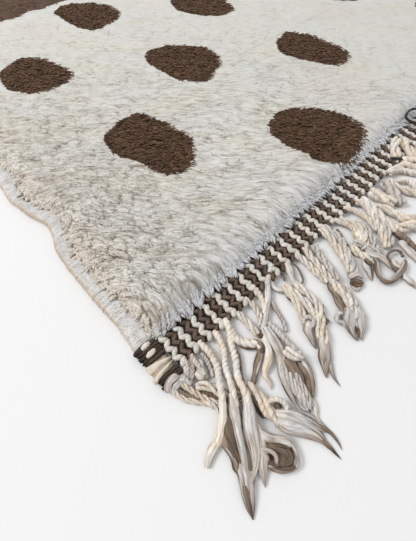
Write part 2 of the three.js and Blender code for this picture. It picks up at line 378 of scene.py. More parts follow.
def mix(tree, a, b, factor, blend="MIX"):
    node = tree.nodes.new("ShaderNodeMix")
    node.data_type = "RGBA"
    node.blend_type = blend
    fill(tree, node, {"Factor": factor, "A": a, "B": b})
    return node.outputs["Result"]


def times(tree, a, b):
    return mix(tree, a, b, 1.0, "MULTIPLY")


def raised_by(tree, value, factor, other=0.0):
    """`other` plus `factor` times `value`."""
    node = tree.nodes.new("ShaderNodeMath")
    node.operation = "MULTIPLY_ADD"
    for place, number in enumerate((value, factor, other)):
        fill(tree, node, {place: number})
    return node.outputs["Value"]


def scaled(tree, value, factor):
    return raised_by(tree, value, factor)


def fibre_noise(tree):
    """Streaks along each lock: fine across it and long along it."""
    parts = [scaled(tree, attribute(tree, name), factor) for name, factor in FIBRE_STRETCH.items()]
    return noise(tree, vector_of(tree, *parts), 1.0, 3.0)


def wool_material(
    name, dark, base, light, streak, roughness=0.92, sheen=0.15, uneven=0.16, patch=14.0, lumps=0.0,
    grain=0.78,
):
    """Brushed wool whose tip mark carries painted shade and light: darker at the root, in folds and on
    undersides, paler at the tip; with long fine streaks or with small lumps.
    """
    material, tree = new_material(name, roughness, sheen)
    # Painted shade and light: from the dark colour in shade to the light colour where the wool is lit.
    by_tip = ramp(tree, attribute(tree, "tip"), (0.0, dark), (0.55, base), (1.0, light))
    low = 1.0 - uneven
    by_tone = ramp(tree, attribute(tree, "tone"), (0.0, (low, low, low)), (1.0, WHITE))
    broad = ramp(tree, noise(tree, position(tree), patch, 3.0), (0.35, WHITE), (0.7, streak))
    fibres = noise(tree, position(tree), lumps, 3.0, 0.6) if lumps else fibre_noise(tree)
    lines = ramp(tree, fibres, (0.36, (grain, 0.97 * grain, 0.93 * grain)), (0.62, (1.06, 1.06, 1.06)))
    colour = times(tree, times(tree, times(tree, by_tip, by_tone), broad), lines)
    return finished(material, colour, fibres, 0.8, 0.0009)


def fringe_wool(name, dark, base, light, streak, patch=45.0, grain=0.72):
    return wool_material(name, dark, base, light, streak, patch=patch, grain=grain)


CREAM_STREAK = (1.0, 0.955, 0.90)
PALE_CREAM = (0.662, 0.662, 0.638)
YELLOW_CREAM = (0.668, 0.648, 0.592)
PINK_CREAM = (0.668, 0.612, 0.556)
# A bluish painted sheen on the pile's tips by the band.
RIM_SHEEN_CREAM = (0.648, 0.654, 0.672)
cream_wool = wool_material(
    "cream_wool", (0.52, 0.46, 0.39), (0.68, 0.62, 0.55), (0.70, 0.66, 0.59), CREAM_STREAK
)
brown_wool = wool_material(
    "brown_wool", (0.012, 0.007, 0.004), (0.158, 0.088, 0.047), (0.410, 0.250, 0.150), (0.78, 0.74, 0.70),
    roughness=0.9, sheen=0.03, uneven=0.50, patch=75.0,
)
# Rim locks: the bluish light end is a painted sheen on the tips over the band.
rim_wool = wool_material(
    "rim_wool", (0.48, 0.47, 0.46), (0.60, 0.605, 0.62), (0.70, 0.715, 0.76), (1, 0.99, 0.97)
)
white_wool = fringe_wool(
    "white_wool", (0.20, 0.158, 0.128), (0.54, 0.50, 0.465), (0.78, 0.775, 0.785), (1, 0.92, 0.83)
)
cord_wool = fringe_wool(
    "cord_wool", (0.27, 0.185, 0.115), (0.77, 0.705, 0.63), (0.92, 0.90, 0.87), (1, 0.90, 0.78), 40.0, 0.74
)
grey_wool = fringe_wool(
    "grey_wool", (0.075, 0.048, 0.034), (0.37, 0.315, 0.28), (0.70, 0.685, 0.69), (1, 0.89, 0.79)
)
# Umber: the brown-grey ends of the wool, and also painted shade between cords and in folds.
umber_wool = fringe_wool(
    "umber_wool", (0.025, 0.015, 0.009), (0.135, 0.092, 0.060), (0.33, 0.262, 0.205), (1, 0.91, 0.82)
)
# Dark wool for strands that are painted shade in the fringe's hollows and between its cords.
shadowed_wool = fringe_wool(
    "shadowed_wool", (0.010, 0.006, 0.004), (0.090, 0.060, 0.038), (0.215, 0.165, 0.125), (1, 0.88, 0.76), 60.0
)
black_wool = wool_material(
    "black_wool", (0.006, 0.006, 0.006), (0.014, 0.013, 0.012), (0.03, 0.027, 0.025), WHITE
)
bead_cream = wool_material(
    "bead_cream", (0.42, 0.38, 0.31), (0.74, 0.71, 0.66), (0.82, 0.80, 0.76), CREAM_STREAK, lumps=640.0,
    grain=0.66,
)
bead_brown = wool_material(
    "bead_brown", (0.016, 0.010, 0.007), (0.135, 0.088, 0.064), (0.275, 0.195, 0.145), (0.8, 0.78, 0.75),
    roughness=0.9, sheen=0.04, uneven=0.35, patch=120.0, lumps=640.0, grain=0.38,
)


def body_material():
    """Combed pile: cream, pinkish by the side edge, with a bluish painted sheen by the band and painted shade
    in its partings, and brown in the pattern.
    """
    material, tree = new_material("combed_pile", 0.95, 0.05)
    lay, cross, rough, far = (attribute(tree, name) for name in ("lay", "cross", "rough", "far"))

    def combed(along, across, detail, seed, roughness=0.5):
        """Noise drawn out along the lay of the pile, its two sizes in metres."""
        place = vector_of(tree, scaled(tree, lay, 1 / along), scaled(tree, cross, 1 / across), seed)
        return noise(tree, place, 1.0, detail, roughness)

    def drawn(value, core, fade):
        """A thin dark line wherever the noise passes its middle: painted shade in a parting."""
        low, high = 0.5 - core, 0.5 + core
        return ramp(tree, value, (low - fade, WHITE), (low, BLACK), (high, BLACK), (high + fade, WHITE))

    def faded(lines, shown):
        return mix(tree, WHITE, lines, shown)

    def darkened(colour, dark, lines):
        """The colour, with a darker one in the lines: painted shade."""
        return times(tree, colour, mix(tree, dark, WHITE, lines))

    strands = combed(0.016, 0.0016, 3.0, 3.1, 0.6)
    wisps = combed(0.022, 0.0040, 3.0, 7.7)
    shown = ramp(tree, combed(0.030, 0.016, 2.0, 9.4), (0.42, BLACK), (0.60, WHITE))
    shown = mix(tree, shown, BLACK, far)
    # Painted shade: thin lines in the partings and creases between locks, shown only in some places.
    line = faded(drawn(combed(0.052, 0.0085, 3.0, 1.3, 0.45), 0.004, 0.020), shown)
    creases = faded(drawn(combed(0.022, 0.0060, 3.0, 4.9, 0.5), 0.003, 0.014), shown)
    line = times(tree, line, creases)
    # Painted shade, darker: lines between tousled locks and between small locks, most where the pile is
    # rough.
    shown_rough = ramp(tree, combed(0.014, 0.012, 2.0, 2.2), (0.38, BLACK), (0.50, WHITE))
    tousled_shadows = faded(drawn(combed(0.017, 0.0078, 3.0, 5.9, 0.5), 0.009, 0.014), shown_rough)
    small_shadows = faded(drawn(combed(0.010, 0.0046, 2.0, 8.3, 0.5), 0.006, 0.012), 0.80)
    tousled_shadows = faded(times(tree, tousled_shadows, small_shadows), rough)

    yellow = ramp(tree, combed(0.09, 0.045, 2.0, 4.4), (0.38, PALE_CREAM), (0.66, YELLOW_CREAM))
    cream = mix(tree, yellow, PINK_CREAM, attribute(tree, "around"))
    # Painted sheen: bluish by the band, from the along mark.
    cream = mix(tree, cream, RIM_SHEEN_CREAM, attribute(tree, "along"))
    cream = darkened(cream, (0.50, 0.43, 0.345), line)
    cream = darkened(cream, (0.14, 0.11, 0.075), tousled_shadows)
    hairs = times(
        tree, ramp(tree, strands, (0.37, (0.70, 0.685, 0.65)), (0.53, WHITE)),
        ramp(tree, wisps, (0.36, (0.80, 0.785, 0.75)), (0.50, WHITE)),
    )
    cream = times(tree, cream, mix(tree, hairs, (0.932, 0.926, 0.912), scaled(tree, far, 1.05)))
    # Painted shade: darker in the partings, from the tip mark.
    tip = attribute(tree, "tip")
    by_tip = ramp(tree, tip, (0.0, (0.45, 0.41, 0.36)), (0.4, (0.77, 0.74, 0.70)), (0.8, WHITE))
    cream = times(tree, cream, by_tip)

    # Brown strands, near black where they part: painted shade between them.
    brown = ramp(
        tree, mix(tree, wisps, strands, 0.5),
        (0.32, (0.016, 0.008, 0.005)), (0.44, (0.078, 0.041, 0.022)), (0.56, (0.130, 0.071, 0.039)),
        (0.70, (0.215, 0.127, 0.076)),
    )
    # Painted shade: dark gaps between the brown locks.
    gaps = drawn(combed(0.016, 0.0056, 2.0, 2.7), 0.016, 0.030)
    gaps = mix(tree, gaps, drawn(combed(0.008, 0.0032, 2.0, 6.1), 0.006, 0.030), 0.5)
    brown = darkened(brown, (0.05, 0.04, 0.035), gaps)
    fox = ramp(tree, noise(tree, position(tree), 34.0, 2.0), (0.42, WHITE), (0.66, (1.17, 1.06, 0.92)))
    brown = times(tree, times(tree, brown, fox), by_tip)
    ragged = raised_by(tree, combed(0.013, 0.0030, 2.0, 6.6), 1.6, attribute(tree, "tone"))
    inside = ramp(tree, ragged, (0.77, BLACK), (0.83, WHITE))
    cut = mix(tree, mix(tree, line, tousled_shadows, 0.5), gaps, inside)
    height = mix(tree, mix(tree, strands, wisps, 0.5), cut, 0.45)
    return finished(material, mix(tree, cream, brown, inside), height, 0.75, 0.0018)


def weave_material():
    """Plain ground weave with rows of knot backs, cream or brown as the pile above."""
    material, tree = new_material("ground_weave", 0.95, 0.2)
    wave = new_node(tree, "ShaderNodeTexWave", Vector=position(tree), Scale=55.0, Distortion=1.5, Detail=2.0)
    wave.wave_type = "BANDS"
    wave.bands_direction = "Y"
    rows = wave.outputs["Fac"]
    cream = ramp(tree, rows, (0.2, (0.42, 0.37, 0.30)), (0.8, (0.66, 0.61, 0.53)))
    brown = ramp(tree, rows, (0.2, (0.03, 0.018, 0.012)), (0.8, (0.09, 0.057, 0.04)))
    return finished(material, mix(tree, cream, brown, attribute(tree, "tone")), rows, 0.6, 0.0008)


def wrap_material():
    """White yarn wound round the edge, with painted shade: tan along its outer underside, and darker lines in
    the grooves between the turns.
    """
    material, tree = new_material("selvedge_wool", 0.88, 0.3)
    uneven = noise(tree, position(tree), 90.0, 3.0)
    white = ramp(tree, uneven, (0.3, (0.56, 0.54, 0.51)), (0.7, (0.71, 0.70, 0.69)))
    # Painted shade: the outer underside of the edge turns tan, carried in the tone mark.
    shaded_outside = mix(tree, white, (0.50, 0.385, 0.275), attribute(tree, "tone"))
    # Painted shade: thin darker lines in the grooves between the turns, from the tip mark.
    broken = raised_by(tree, noise(tree, position(tree), 330.0, 3.0, 0.6), 2.2, attribute(tree, "tip"))
    lines = ramp(tree, scaled(tree, broken, 0.5), (0.54, (0.42, 0.385, 0.355)), (0.86, WHITE))
    return finished(material, times(tree, shaded_outside, lines), noise(tree, position(tree), 900.0), 0.4, 0.0004)


# The pattern, as places u across and v along the rug
def spots():
    """The spots that were read from the photograph, and plain ones over the rest of the rug."""
    listed = list(SEEN_SPOTS)
    across, along = SPOT_RADII
    for column in range(SPOT_COLUMNS):
        rows = 2 if column % 2 == 0 else 3
        start = FIRST_SPOT[1] if column % 2 == 0 else FIRST_SPOT[1] - SPOT_ALONG / 2 - ODD_COLUMN_SHIFT
        for row in range(rows):
            v = start + row * SPOT_ALONG
            u = FIRST_SPOT[0] + column * SPOT_ACROSS - ROW_SLANT * row
            plain = {"across": across, "along": along, "turn": 6 * column - 15, "point": 50 * row}
            listed.append({"u": u + FAR_HALF_SHIFT, "v": LENGTH - v, **plain})
            if column > 2:
                u += FAR_COLUMNS_SHIFT
            if all(math.hypot(u - spot["u"], v - spot["v"]) > SPOT_CLEARANCE for spot in SEEN_SPOTS):
                listed.append({"u": u, "v": v, **plain})
    return listed


def brown_depth(u, v):
    """How far inside a brown spot or the brown middle section a place lies, negative outside, in metres."""
    depth = np.full(u.shape, -1.0)
    for spot in spots():
        du, dv = u - spot["u"], v - spot["v"]
        near = np.hypot(du, dv) < SPOT_REACH
        if not near.any():
            continue
        du, dv = du[near], dv[near]
        turn = math.radians(spot["turn"])
        across = (du * math.cos(turn) + dv * math.sin(turn)) / spot["across"]
        along = (dv * math.cos(turn) - du * math.sin(turn)) / spot["along"]
        pointed = np.cos(3 * (np.arctan2(along, across) - math.radians(spot["point"])))
        power = SPOT_SQUARENESS
        reach = (np.abs(across) ** power + np.abs(along) ** power) ** (1 / power)
        reach *= 1 - SPOT_POINTEDNESS * pointed
        depth[near] = np.maximum(depth[near], (1 - reach) * SPOT_RADII[0])
    depth = np.maximum(depth, np.minimum(v - SECTION, LENGTH - SECTION - v))
    return depth + 0.0035 * soft_noise(u, v, 0.019, 91) + 0.0015 * soft_noise(u, v, 0.007, 92)


# Pile
PILE_FLOOR, PILE_TOP = 3.4 * MM, 21.5 * MM
GRID_REACHES = (0.0, 0.30, 0.62, 1.10)
GRID_STEPS = (1.9 * MM, 1.9 * MM, 3.3 * MM, 9.5 * MM)
SURFACE_PARTS = 3
COMBED_REACH = 0.020
CORNER_BEND, CORNER_ALONG, CORNER_ACROSS = 1.1, 0.09, 0.06
TOUSLED_AT, TOUSLED_ACROSS, TOUSLED_ALONG = 0.03, 0.13, 0.37
PINK_REACH, BLUISH_REACH, CALM_REACH, CALM_CORNER = 0.05, 0.028, 0.042, (0.09, 0.12)
FAR_START, FAR_FADE = 0.30, 0.45
DETAIL_REACH, DETAIL_FADE = 1.15, 0.6
LOCK_SIZE, SMALL_LOCK_SIZE = 0.0088, 0.0058
PARTING, SMALL_PARTING = 1.2 * MM, 0.9 * MM
SPOT_EDGE = 4 * MM
SIDE_ROUNDING, END_ROUNDING = (0.013, 0.60), (0.009, 0.50)
SIDE_SPILL, END_SPILL, SPILL_REACH = 3.6, 2.8, 0.012


def grid_lines(length):
    """Places of grid lines, close together near the seen corner and wider apart far from it."""
    places = [0.0]
    while places[-1] < length:
        places.append(places[-1] + float(np.interp(places[-1], GRID_REACHES, GRID_STEPS)))
    return np.array(places) * length / places[-1]


def cell_edges(a, b, size, seed):
    """Distance to the nearest border between uneven cells, and the offset from the cell's centre."""
    table = np.random.default_rng(seed).uniform(0.08, 0.92, (CELLS, CELLS, 2))
    ia, ib = np.floor(a / size).astype(int), np.floor(b / size).astype(int)
    first = second = np.full(a.shape, np.inf)
    off_a, off_b = np.zeros_like(a), np.zeros_like(b)
    for da in (-1, 0, 1):
        for db in (-1, 0, 1):
            cell = table[(ia + da) % CELLS, (ib + db) % CELLS]
            ca = (ia + da + cell[..., 0]) * size - a
            cb = (ib + db + cell[..., 1]) * size - b
            away = np.hypot(ca, cb)
            nearer = away < first
            second = np.where(nearer, first, np.minimum(second, away))
            first = np.where(nearer, away, first)
            off_a, off_b = np.where(nearer, -ca, off_a), np.where(nearer, -cb, off_b)
    return second - first, off_a, off_b


def place_on_rug(s, v):
    """Frame place, and place across the rug, for a share s across the pile at v along it."""
    left, right = edge_shift(v, -1), edge_shift(v, 1)
    x = LEFT - left + (WIDTH + left + right) * s
    return x, FRONT + v, SELVEDGE_WIDTH + WIDTH * s


def rims(u, v):
    return u - SELVEDGE_WIDTH, WIDTH + SELVEDGE_WIDTH - u, v, LENGTH - v


def combing(u, v):
    """Distances along and across the lay of the pile: slantwise, and straight over the front rim."""
    side = u - SELVEDGE_WIDTH
    bent = v + COMBED_REACH * (np.exp(-v / COMBED_REACH) - 1)
    bent = bent - CORNER_BEND * v * np.exp(-v / CORNER_ALONG - side / CORNER_ACROSS)
    return (u - v) / math.sqrt(2), (u + bent) / math.sqrt(2)


def lay_direction(u, v):
    """Direction in which the tips of the pile point, as parts along u and v."""
    step = 1 * MM
    _, here = combing(u, v)
    across_u = (combing(u + step, v)[1] - here) / step
    across_v = (combing(u, v + step)[1] - here) / step
    size = np.hypot(across_u, across_v)
    return across_v / size, -across_u / size


def tousle(u, v):
    """How disordered the pile is: most by the seen side edge."""
    across = np.exp(-(((u - TOUSLED_AT) / TOUSLED_ACROSS) ** 2))
    return across * (0.05 + 0.96 * np.exp(-((v / TOUSLED_ALONG) ** 1.8)))


def relief(x, y, u, v):
    """Height of the locks over the pile's mean top, its partings from 0 to 1, and the combed places.

    Heights are weighed in millimetres; the sizes of noise and of cells are in metres.
    """
    lay, cross = combing(u, v)
    rough = tousle(u, v)
    cross = cross + 5 * MM * soft_noise(x, y, 0.060, 101) + 2.2 * MM * soft_noise(x, y, 0.019, 102)
    cross = cross + rough * (3 * MM * soft_noise(x, y, 0.019, 103) + 1 * MM * soft_noise(x, y, 0.008, 104))
    lay = lay + rough * (3 * MM * soft_noise(x, y, 0.017, 105) + 1.5 * MM * soft_noise(x, y, 0.009, 106))
    rim = np.exp(-np.minimum(v, LENGTH - v) / COMBED_REACH)
    edge, off_lay, off_cross = cell_edges(lay / (3.3 - 1.1 * rough + rim), cross, LOCK_SIZE, 107)
    small, small_lay, small_cross = cell_edges(lay / (3.5 - 1.4 * rough + rim), cross, SMALL_LOCK_SIZE, 108)
    brown = smooth(brown_depth(u, v) / SPOT_EDGE)
    shown = smooth(0.35 + 1.2 * soft_noise(lay / 1.8, cross, 0.012, 109) + 0.35 * rough + 0.4 * brown)
    near = smooth((DETAIL_REACH - np.hypot(u, v)) / DETAIL_FADE)
    parted = np.exp(-((edge / PARTING) ** 2)) * shown * (0.50 + 0.35 * rough + 0.3 * brown + 0.1 * rim)
    fine = np.exp(-((small / SMALL_PARTING) ** 2)) * (0.18 + 0.30 * rough + 0.4 * brown + 0.1 * rim)
    locks = 0.9 * soft_noise(lay / 4.2, cross, 0.0062, 110) + 0.5 * soft_noise(lay / 4.0, cross, 0.0036, 111)
    raised = 0.13 * off_lay / MM - 0.025 * (off_cross / MM) ** 2
    raised = raised + 0.12 * small_lay / MM - 0.015 * (small_cross / MM) ** 2
    shag = 1.7 * soft_noise(lay / 2.4, cross, 0.0042, 113) + 0.8 * soft_noise(lay / 2.0, cross, 0.0030, 114)
    mound = (0.75 + 0.3 * rim) * locks + raised * (0.45 + 0.35 * rough)
    height = near * (mound * (1 - 0.7 * brown) + brown * shag) - (1.3 + 0.9 * rough) * parted - 0.8 * fine
    return height * MM, np.clip((parted + 0.7 * fine) * (0.3 + 0.7 * near), 0, 1), lay, cross


def pile_height(x, y, u, v):
    """Top of the pile without the locks that stand out of it, its partings, and the combed places."""
    raised, deep, lay, cross = relief(x, y, u, v)
    broad = 1.3 * soft_noise(x, y, 0.10, 111) + 0.9 * soft_noise(x, y, 0.035, 112)
    share = 1.0
    for rim, (reach, drop) in zip(rims(u, v), (SIDE_ROUNDING, SIDE_ROUNDING, END_ROUNDING, END_ROUNDING)):
        share = share * (1 - drop * np.exp(-((np.maximum(rim, 0) / reach) ** 1.5)))
    height = PILE_FLOOR + (PILE_TOP - PILE_FLOOR) * share + broad * MM + raised
    return np.maximum(height, PILE_FLOOR + 1 * MM), deep, lay, cross


def spilled(u, v):
    """Frame place of the pile's top at u, v, spilling a little over the rims and hanging down beyond them."""
    inner_u, inner_v = np.clip(u, SELVEDGE_WIDTH, SELVEDGE_WIDTH + WIDTH), np.clip(v, 0, LENGTH)
    x, y, _ = place_on_rug((inner_u - SELVEDGE_WIDTH) / WIDTH, inner_v)
    z, deep, lay, cross = pile_height(x, y, inner_u, inner_v)
    ragged = 1 + 0.35 * soft_noise(x, y, 0.012, 123) + 0.35 * soft_noise(x, y, 0.004, 124)
    beyond = np.abs(v - inner_v) + 0.15 * np.abs(u - inner_u)
    left, right, front, back = (np.exp(-rim / SPILL_REACH) for rim in rims(inner_u, inner_v))
    x = x + ragged * SIDE_SPILL * MM * (right - left) + u - inner_u
    y = y + ragged * END_SPILL * MM * (back - front) + v - inner_v
    return x, y, np.maximum(z - 0.35 * beyond, 1 * MM), deep, lay, cross


def build_surface(material):
    """The closed body of the pile: a combed top over a flat underside, in strips along the rug."""
    lines = grid_lines(LENGTH)
    shares, places = np.meshgrid(grid_lines(WIDTH) / WIDTH, lines, indexing="ij")
    u = SELVEDGE_WIDTH + WIDTH * shares
    x, y, z, deep, lay, cross = spilled(u, places)
    left, _, front, _ = rims(u, places)
    pink = np.exp(-left / PINK_REACH) * smooth(0.75 + 0.9 * soft_noise(x, y, 0.045, 121))
    calm_rim = 1 - 0.8 * np.exp(-front / CALM_REACH)
    calm_corner = 1 - 0.35 * np.exp(-((u / CALM_CORNER[0]) ** 2) - (places / CALM_CORNER[1]) ** 2)
    marks = {
        "tone": np.clip(0.5 * brown_depth(u, places) / SPOT_EDGE, -2, 2),
        # Painted shade: the tip mark is low in the partings.
        "tip": 1 - deep,
        "around": np.clip(pink + 0.5 * smooth(1.3 * soft_noise(x, y, 0.13, 122) - 0.35), 0, 1),
        # Painted sheen: bluish by the band, fading out at the seen corner.
        "along": np.exp(-front / BLUISH_REACH) * smooth((u - 0.03) / 0.03),
        "lay": lay,
        "cross": cross,
        "rough": tousle(u, places) * calm_rim * calm_corner,
        "far": 0.75 * smooth((np.hypot(u, places) - FAR_START) / FAR_FADE),
    }
    cuts = np.linspace(0, len(lines) - 1, SURFACE_PARTS + 1).astype(int)
    pieces = []
    for part in range(SURFACE_PARTS):
        rows = slice(cuts[part], cuts[part + 1] + 1)
        top = np.stack([x[:, rows], y[:, rows], z[:, rows]], axis=-1)
        faces, rim = grid_faces(*top.shape[:2])
        top = top.reshape(-1, 3)
        lower = np.arange(len(rim)) + len(top)
        bottom = top[rim] * [1, 1, 0] + [0, 0, PILE_FLOOR]
        shown = {key: mark[:, rows].ravel() for key, mark in marks.items()}
        heap = Heap("lay", "cross", "rough", "far")
        heap.add(
            np.concatenate([top, bottom]), None, np.concatenate([faces, wall_faces(rim, lower)]),
            **{key: np.concatenate([mark, mark[rim]]) for key, mark in shown.items()},
        )
        heap.undersides.append(lower[::-1])
        pieces.append(heap.piece(f"pile_body_{part + 1}", material, "cream_pile"))
    return pieces


def scatter(step, low, high, seed):
    """Uneven places, in u and v, over a rectangle."""
    rng = np.random.default_rng(seed)
    across = np.arange(low[0], high[0], step)
    along = np.arange(low[1], high[1], step)
    u, v = (a.ravel() for a in np.meshgrid(across, along, indexing="ij"))
    return u + rng.uniform(-0.5, 0.5, u.size) * step, v + rng.uniform(-0.5, 0.5, v.size) * step


# Locks that stand out of the pile. Each row of a bend: share of the reach, share of the rise, width, slope
LYING = [(0.0, 0.0, 0.8, 0.1), (0.35, 0.8, 1.0, 0.3), (0.72, 1.0, 0.8, 0.05)]
HANGING = [(0.0, 0.0, 0.8, 0.1), (0.30, 0.9, 1.0, 0.1), (0.62, 1.0, 0.85, -0.3), (0.86, 0.7, 0.5, -0.5)]
LOCK_SINK = 1.5 * MM
CLUMP = 0.013
NEAR_REACH, SPOT_LOCKS_REACH = 0.62, 0.75
# The look of a set of locks: its bends, its painted shade at the roots and at the tips, and how flat a lock
# is
FRONT_LOOK = (HANGING, (0.86, 1.0), 0.32)
SIDE_LOOK = (HANGING, (0.9, 1.0), 0.2)
SPOT_LOOK = (LYING, (0.10, 1.0), 0.5)


def locks_at(heap, u, v, reach, rise, width, bends, shade, flat, rng):
    """Tapered locks rooted in the pile at u, v that lie along its top and end `rise` above it."""
    count = len(u)
    length = np.hypot(reach[0], reach[1]) + 1e-9
    dx, dy = reach[0] / length, reach[1] / length
    side = np.stack([dy, -dx, np.zeros(count)], axis=1)
    rings, marks = [], []

    def on_path(out, up_share):
        x, y, z = spilled(u + reach[0] * out, v + reach[1] * out)[:3]
        return np.stack([x, y, z - LOCK_SINK + (rise + LOCK_SINK) * up_share], axis=1)

    for out, up_share, wide, slope in bends:
        centre = on_path(out, up_share)
        up = np.stack([-dx * slope, -dy * slope, np.full(count, math.sqrt(1 - slope * slope))], axis=1)
        half = (width * wide / 1.6)[:, None]
        for k in range(3):
            angle = k * 2 * np.pi / 3
            rings.append(centre + half * (flat * math.cos(angle) * up + math.sin(angle) * side))
            marks.append((out, k / 3))
    end = on_path(1.0, bends[-1][1])
    end[:, 2] -= 0.25 * width
    points = np.stack([*rings, end], axis=1)
    points[..., 2] = np.maximum(points[..., 2], 0.3 * MM)
    tips, turns = np.array([*marks, (1.0, 0.0)]).T
    per = len(tips)
    a, b, c, tip = range(per - 4, per)
    tris = np.array([[a, b, tip], [b, c, tip], [c, a, tip], [2, 1, 0]])
    first = (np.arange(count) * per)[:, None, None]
    tone = np.repeat(rng.uniform(0, 1, count), per)
    # Painted shade: each lock darker towards its root, where it goes into the pile.
    heap.add(
        points, tris[None] + first, tube_faces(len(bends), 3)[None] + first,
        tone=tone,
        tip=np.tile(shade[0] + (shade[1] - shade[0]) * tips, count),
        around=np.tile(turns, count),
        along=np.tile(tips * 0.02, count) + tone,
    )


def turned(direction, angle, length):
    """Directions turned by an angle and given a length."""
    du, dv = direction
    c, s = np.cos(angle), np.sin(angle)
    return np.stack([(du * c - dv * s) * length, (du * s + dv * c) * length])


def build_locks():
    """Locks that stand out of the pile: combed over the rims, and round the edges of the brown pattern."""
    rng = np.random.default_rng(5)
    pieces = []

    def gather(name, material, slot, *sets):
        heap = Heap()
        for lock_set in sets:
            locks_at(heap, *lock_set, rng)
        pieces.append(heap.piece(name, material, slot))

    def front_set(step, low, high, length, seed):
        u, v = scatter(step, (low, 0.5 * MM), (high, 9 * MM), seed)
        clump = CLUMP * (np.round(u / CLUMP + 0.6 * line_noise(u, 0.02, 134)) + 0.2)
        size = length * rng.uniform(0.75, 1.2, u.size) * (1 + 0.4 * line_noise(u, 0.011, 131))
        angle = rng.normal(0, 0.12, u.size) + 0.25 * soft_noise(u, v, 0.025, 132)
        reach = turned(lay_direction(u, v), angle, size)
        reach *= 0.6 + 0.4 * smooth((u - 0.025) / 0.05)
        reach[0] += np.clip(0.65 * (clump - u), -0.6 * size, 0.6 * size)
        rise = rng.uniform(-0.2, 0.6, u.size) * MM
        width = step * rng.uniform(0.8, 1.5, u.size)
        return u, v, reach, rise, width, *FRONT_LOOK

    gather(
        "combed_front_locks", rim_wool, "cream_pile",
        front_set(step=2.5 * MM, low=SELVEDGE_WIDTH + 1 * MM, high=NEAR_REACH, length=7.6 * MM, seed=133),
        front_set(step=4.2 * MM, low=NEAR_REACH, high=WIDTH + 0.015, length=9.2 * MM, seed=138),
    )

    def side_set(side, step, low, high, seed):
        across, v = scatter(step, (0.5 * MM, low), (11 * MM, high), seed)
        u = SELVEDGE_WIDTH + across if side < 0 else SELVEDGE_WIDTH + WIDTH - across
        size = (5 + 4 * rng.uniform(0, 1, u.size)) * MM * (1 + 0.4 * line_noise(v, 0.012, 152))
        angle = rng.normal(-0.45, 0.45, u.size)
        reach = np.stack([side * size * np.cos(angle), size * np.sin(angle)])
        rise = rng.uniform(-0.3, 0.2, u.size) * MM
        return u, v, reach, rise, step * rng.uniform(0.9, 1.6, u.size), *SIDE_LOOK

    gather(
        "combed_side_locks", cream_wool, "cream_pile",
        side_set(-1, step=4.0 * MM, low=0.003, high=0.45, seed=135),
        side_set(-1, step=8.5 * MM, low=0.45, high=LENGTH - 0.003, seed=136),
        side_set(1, step=8.5 * MM, low=0.003, high=LENGTH - 0.003, seed=137),
    )

    def spot_set(step, depths, length, seed, fine=1.0):
        u, v = scatter(step, (SELVEDGE_WIDTH, 0.0), (SPOT_LOCKS_REACH, SPOT_LOCKS_REACH), seed)
        depth = brown_depth(u, v)
        inside = (u > SELVEDGE_WIDTH + 4 * MM) & (v > 4 * MM) & (depth > depths[0]) & (depth < depths[1])
        u, v = u[inside], v[inside]
        size = length * rng.uniform(0.7, 1.2, u.size)
        swirl = 0.5 * soft_noise(u, v, 0.016, 151) + rng.normal(0, 0.30, u.size)
        reach = turned(lay_direction(u, v), swirl, size)
        rise = (0.2 + 1.6 * rng.uniform(0, 1, u.size)) * MM
        return u, v, reach, rise, fine * step * rng.uniform(0.45, 0.95, u.size), *SPOT_LOOK

    gather(
        "spot_locks", brown_wool, "brown_pile",
        spot_set(step=4.8 * MM, depths=(3.5 * MM, 99 * MM), length=9 * MM, seed=141),
        spot_set(step=2.9 * MM, depths=(-0.5 * MM, 3.5 * MM), length=8.5 * MM, seed=142, fine=0.62),
    )
    return pieces


WEAVE_COLUMNS, WEAVE_ROWS, WEAVE_TOP = 46, 67, 3.1 * MM


def build_weave(material):
    """The flat ground weave under the pile, closed."""
    along = 0.6 * MM + (LENGTH - 1.2 * MM) * np.linspace(0, 1, WEAVE_ROWS)
    s, v = np.meshgrid(np.linspace(0, 1, WEAVE_COLUMNS), along, indexing="ij")
    x, y, u = place_on_rug(0.0005 + 0.999 * s, v)
    brown = (brown_depth(u, v) > 0).astype(float)
    faces, rim = grid_faces(*x.shape)
    top = np.stack([x, y, np.full_like(x, WEAVE_TOP)], axis=-1).reshape(-1, 3)
    quads = np.concatenate([faces, faces[:, ::-1] + x.size, wall_faces(rim, rim + x.size)])
    heap = Heap()
    heap.add(np.concatenate([top, top * [1, 1, 0]]), None, quads, tone=np.tile(brown.ravel(), 2))
    return heap.piece("ground_weave", material, "ground_weave")


# Selvedges. The profile runs from the outer edge, across and up in millimetres
WRAP_PITCH = {-1: 2.5 * MM, 1: 5.0 * MM}
SELVEDGE_MIDDLE = (8.7, 4.6)
SELVEDGE_PROFILE = [
    (0.6, 0.2), (19.6, 0.2), (19.6, 6.8), (17.0, 9.0), (13.0, 9.9), (7.4, 10.1), (2.0, 8.7), (-1.1, 6.4),
    (-2.3, 3.6), (-1.7, 1.4),
]


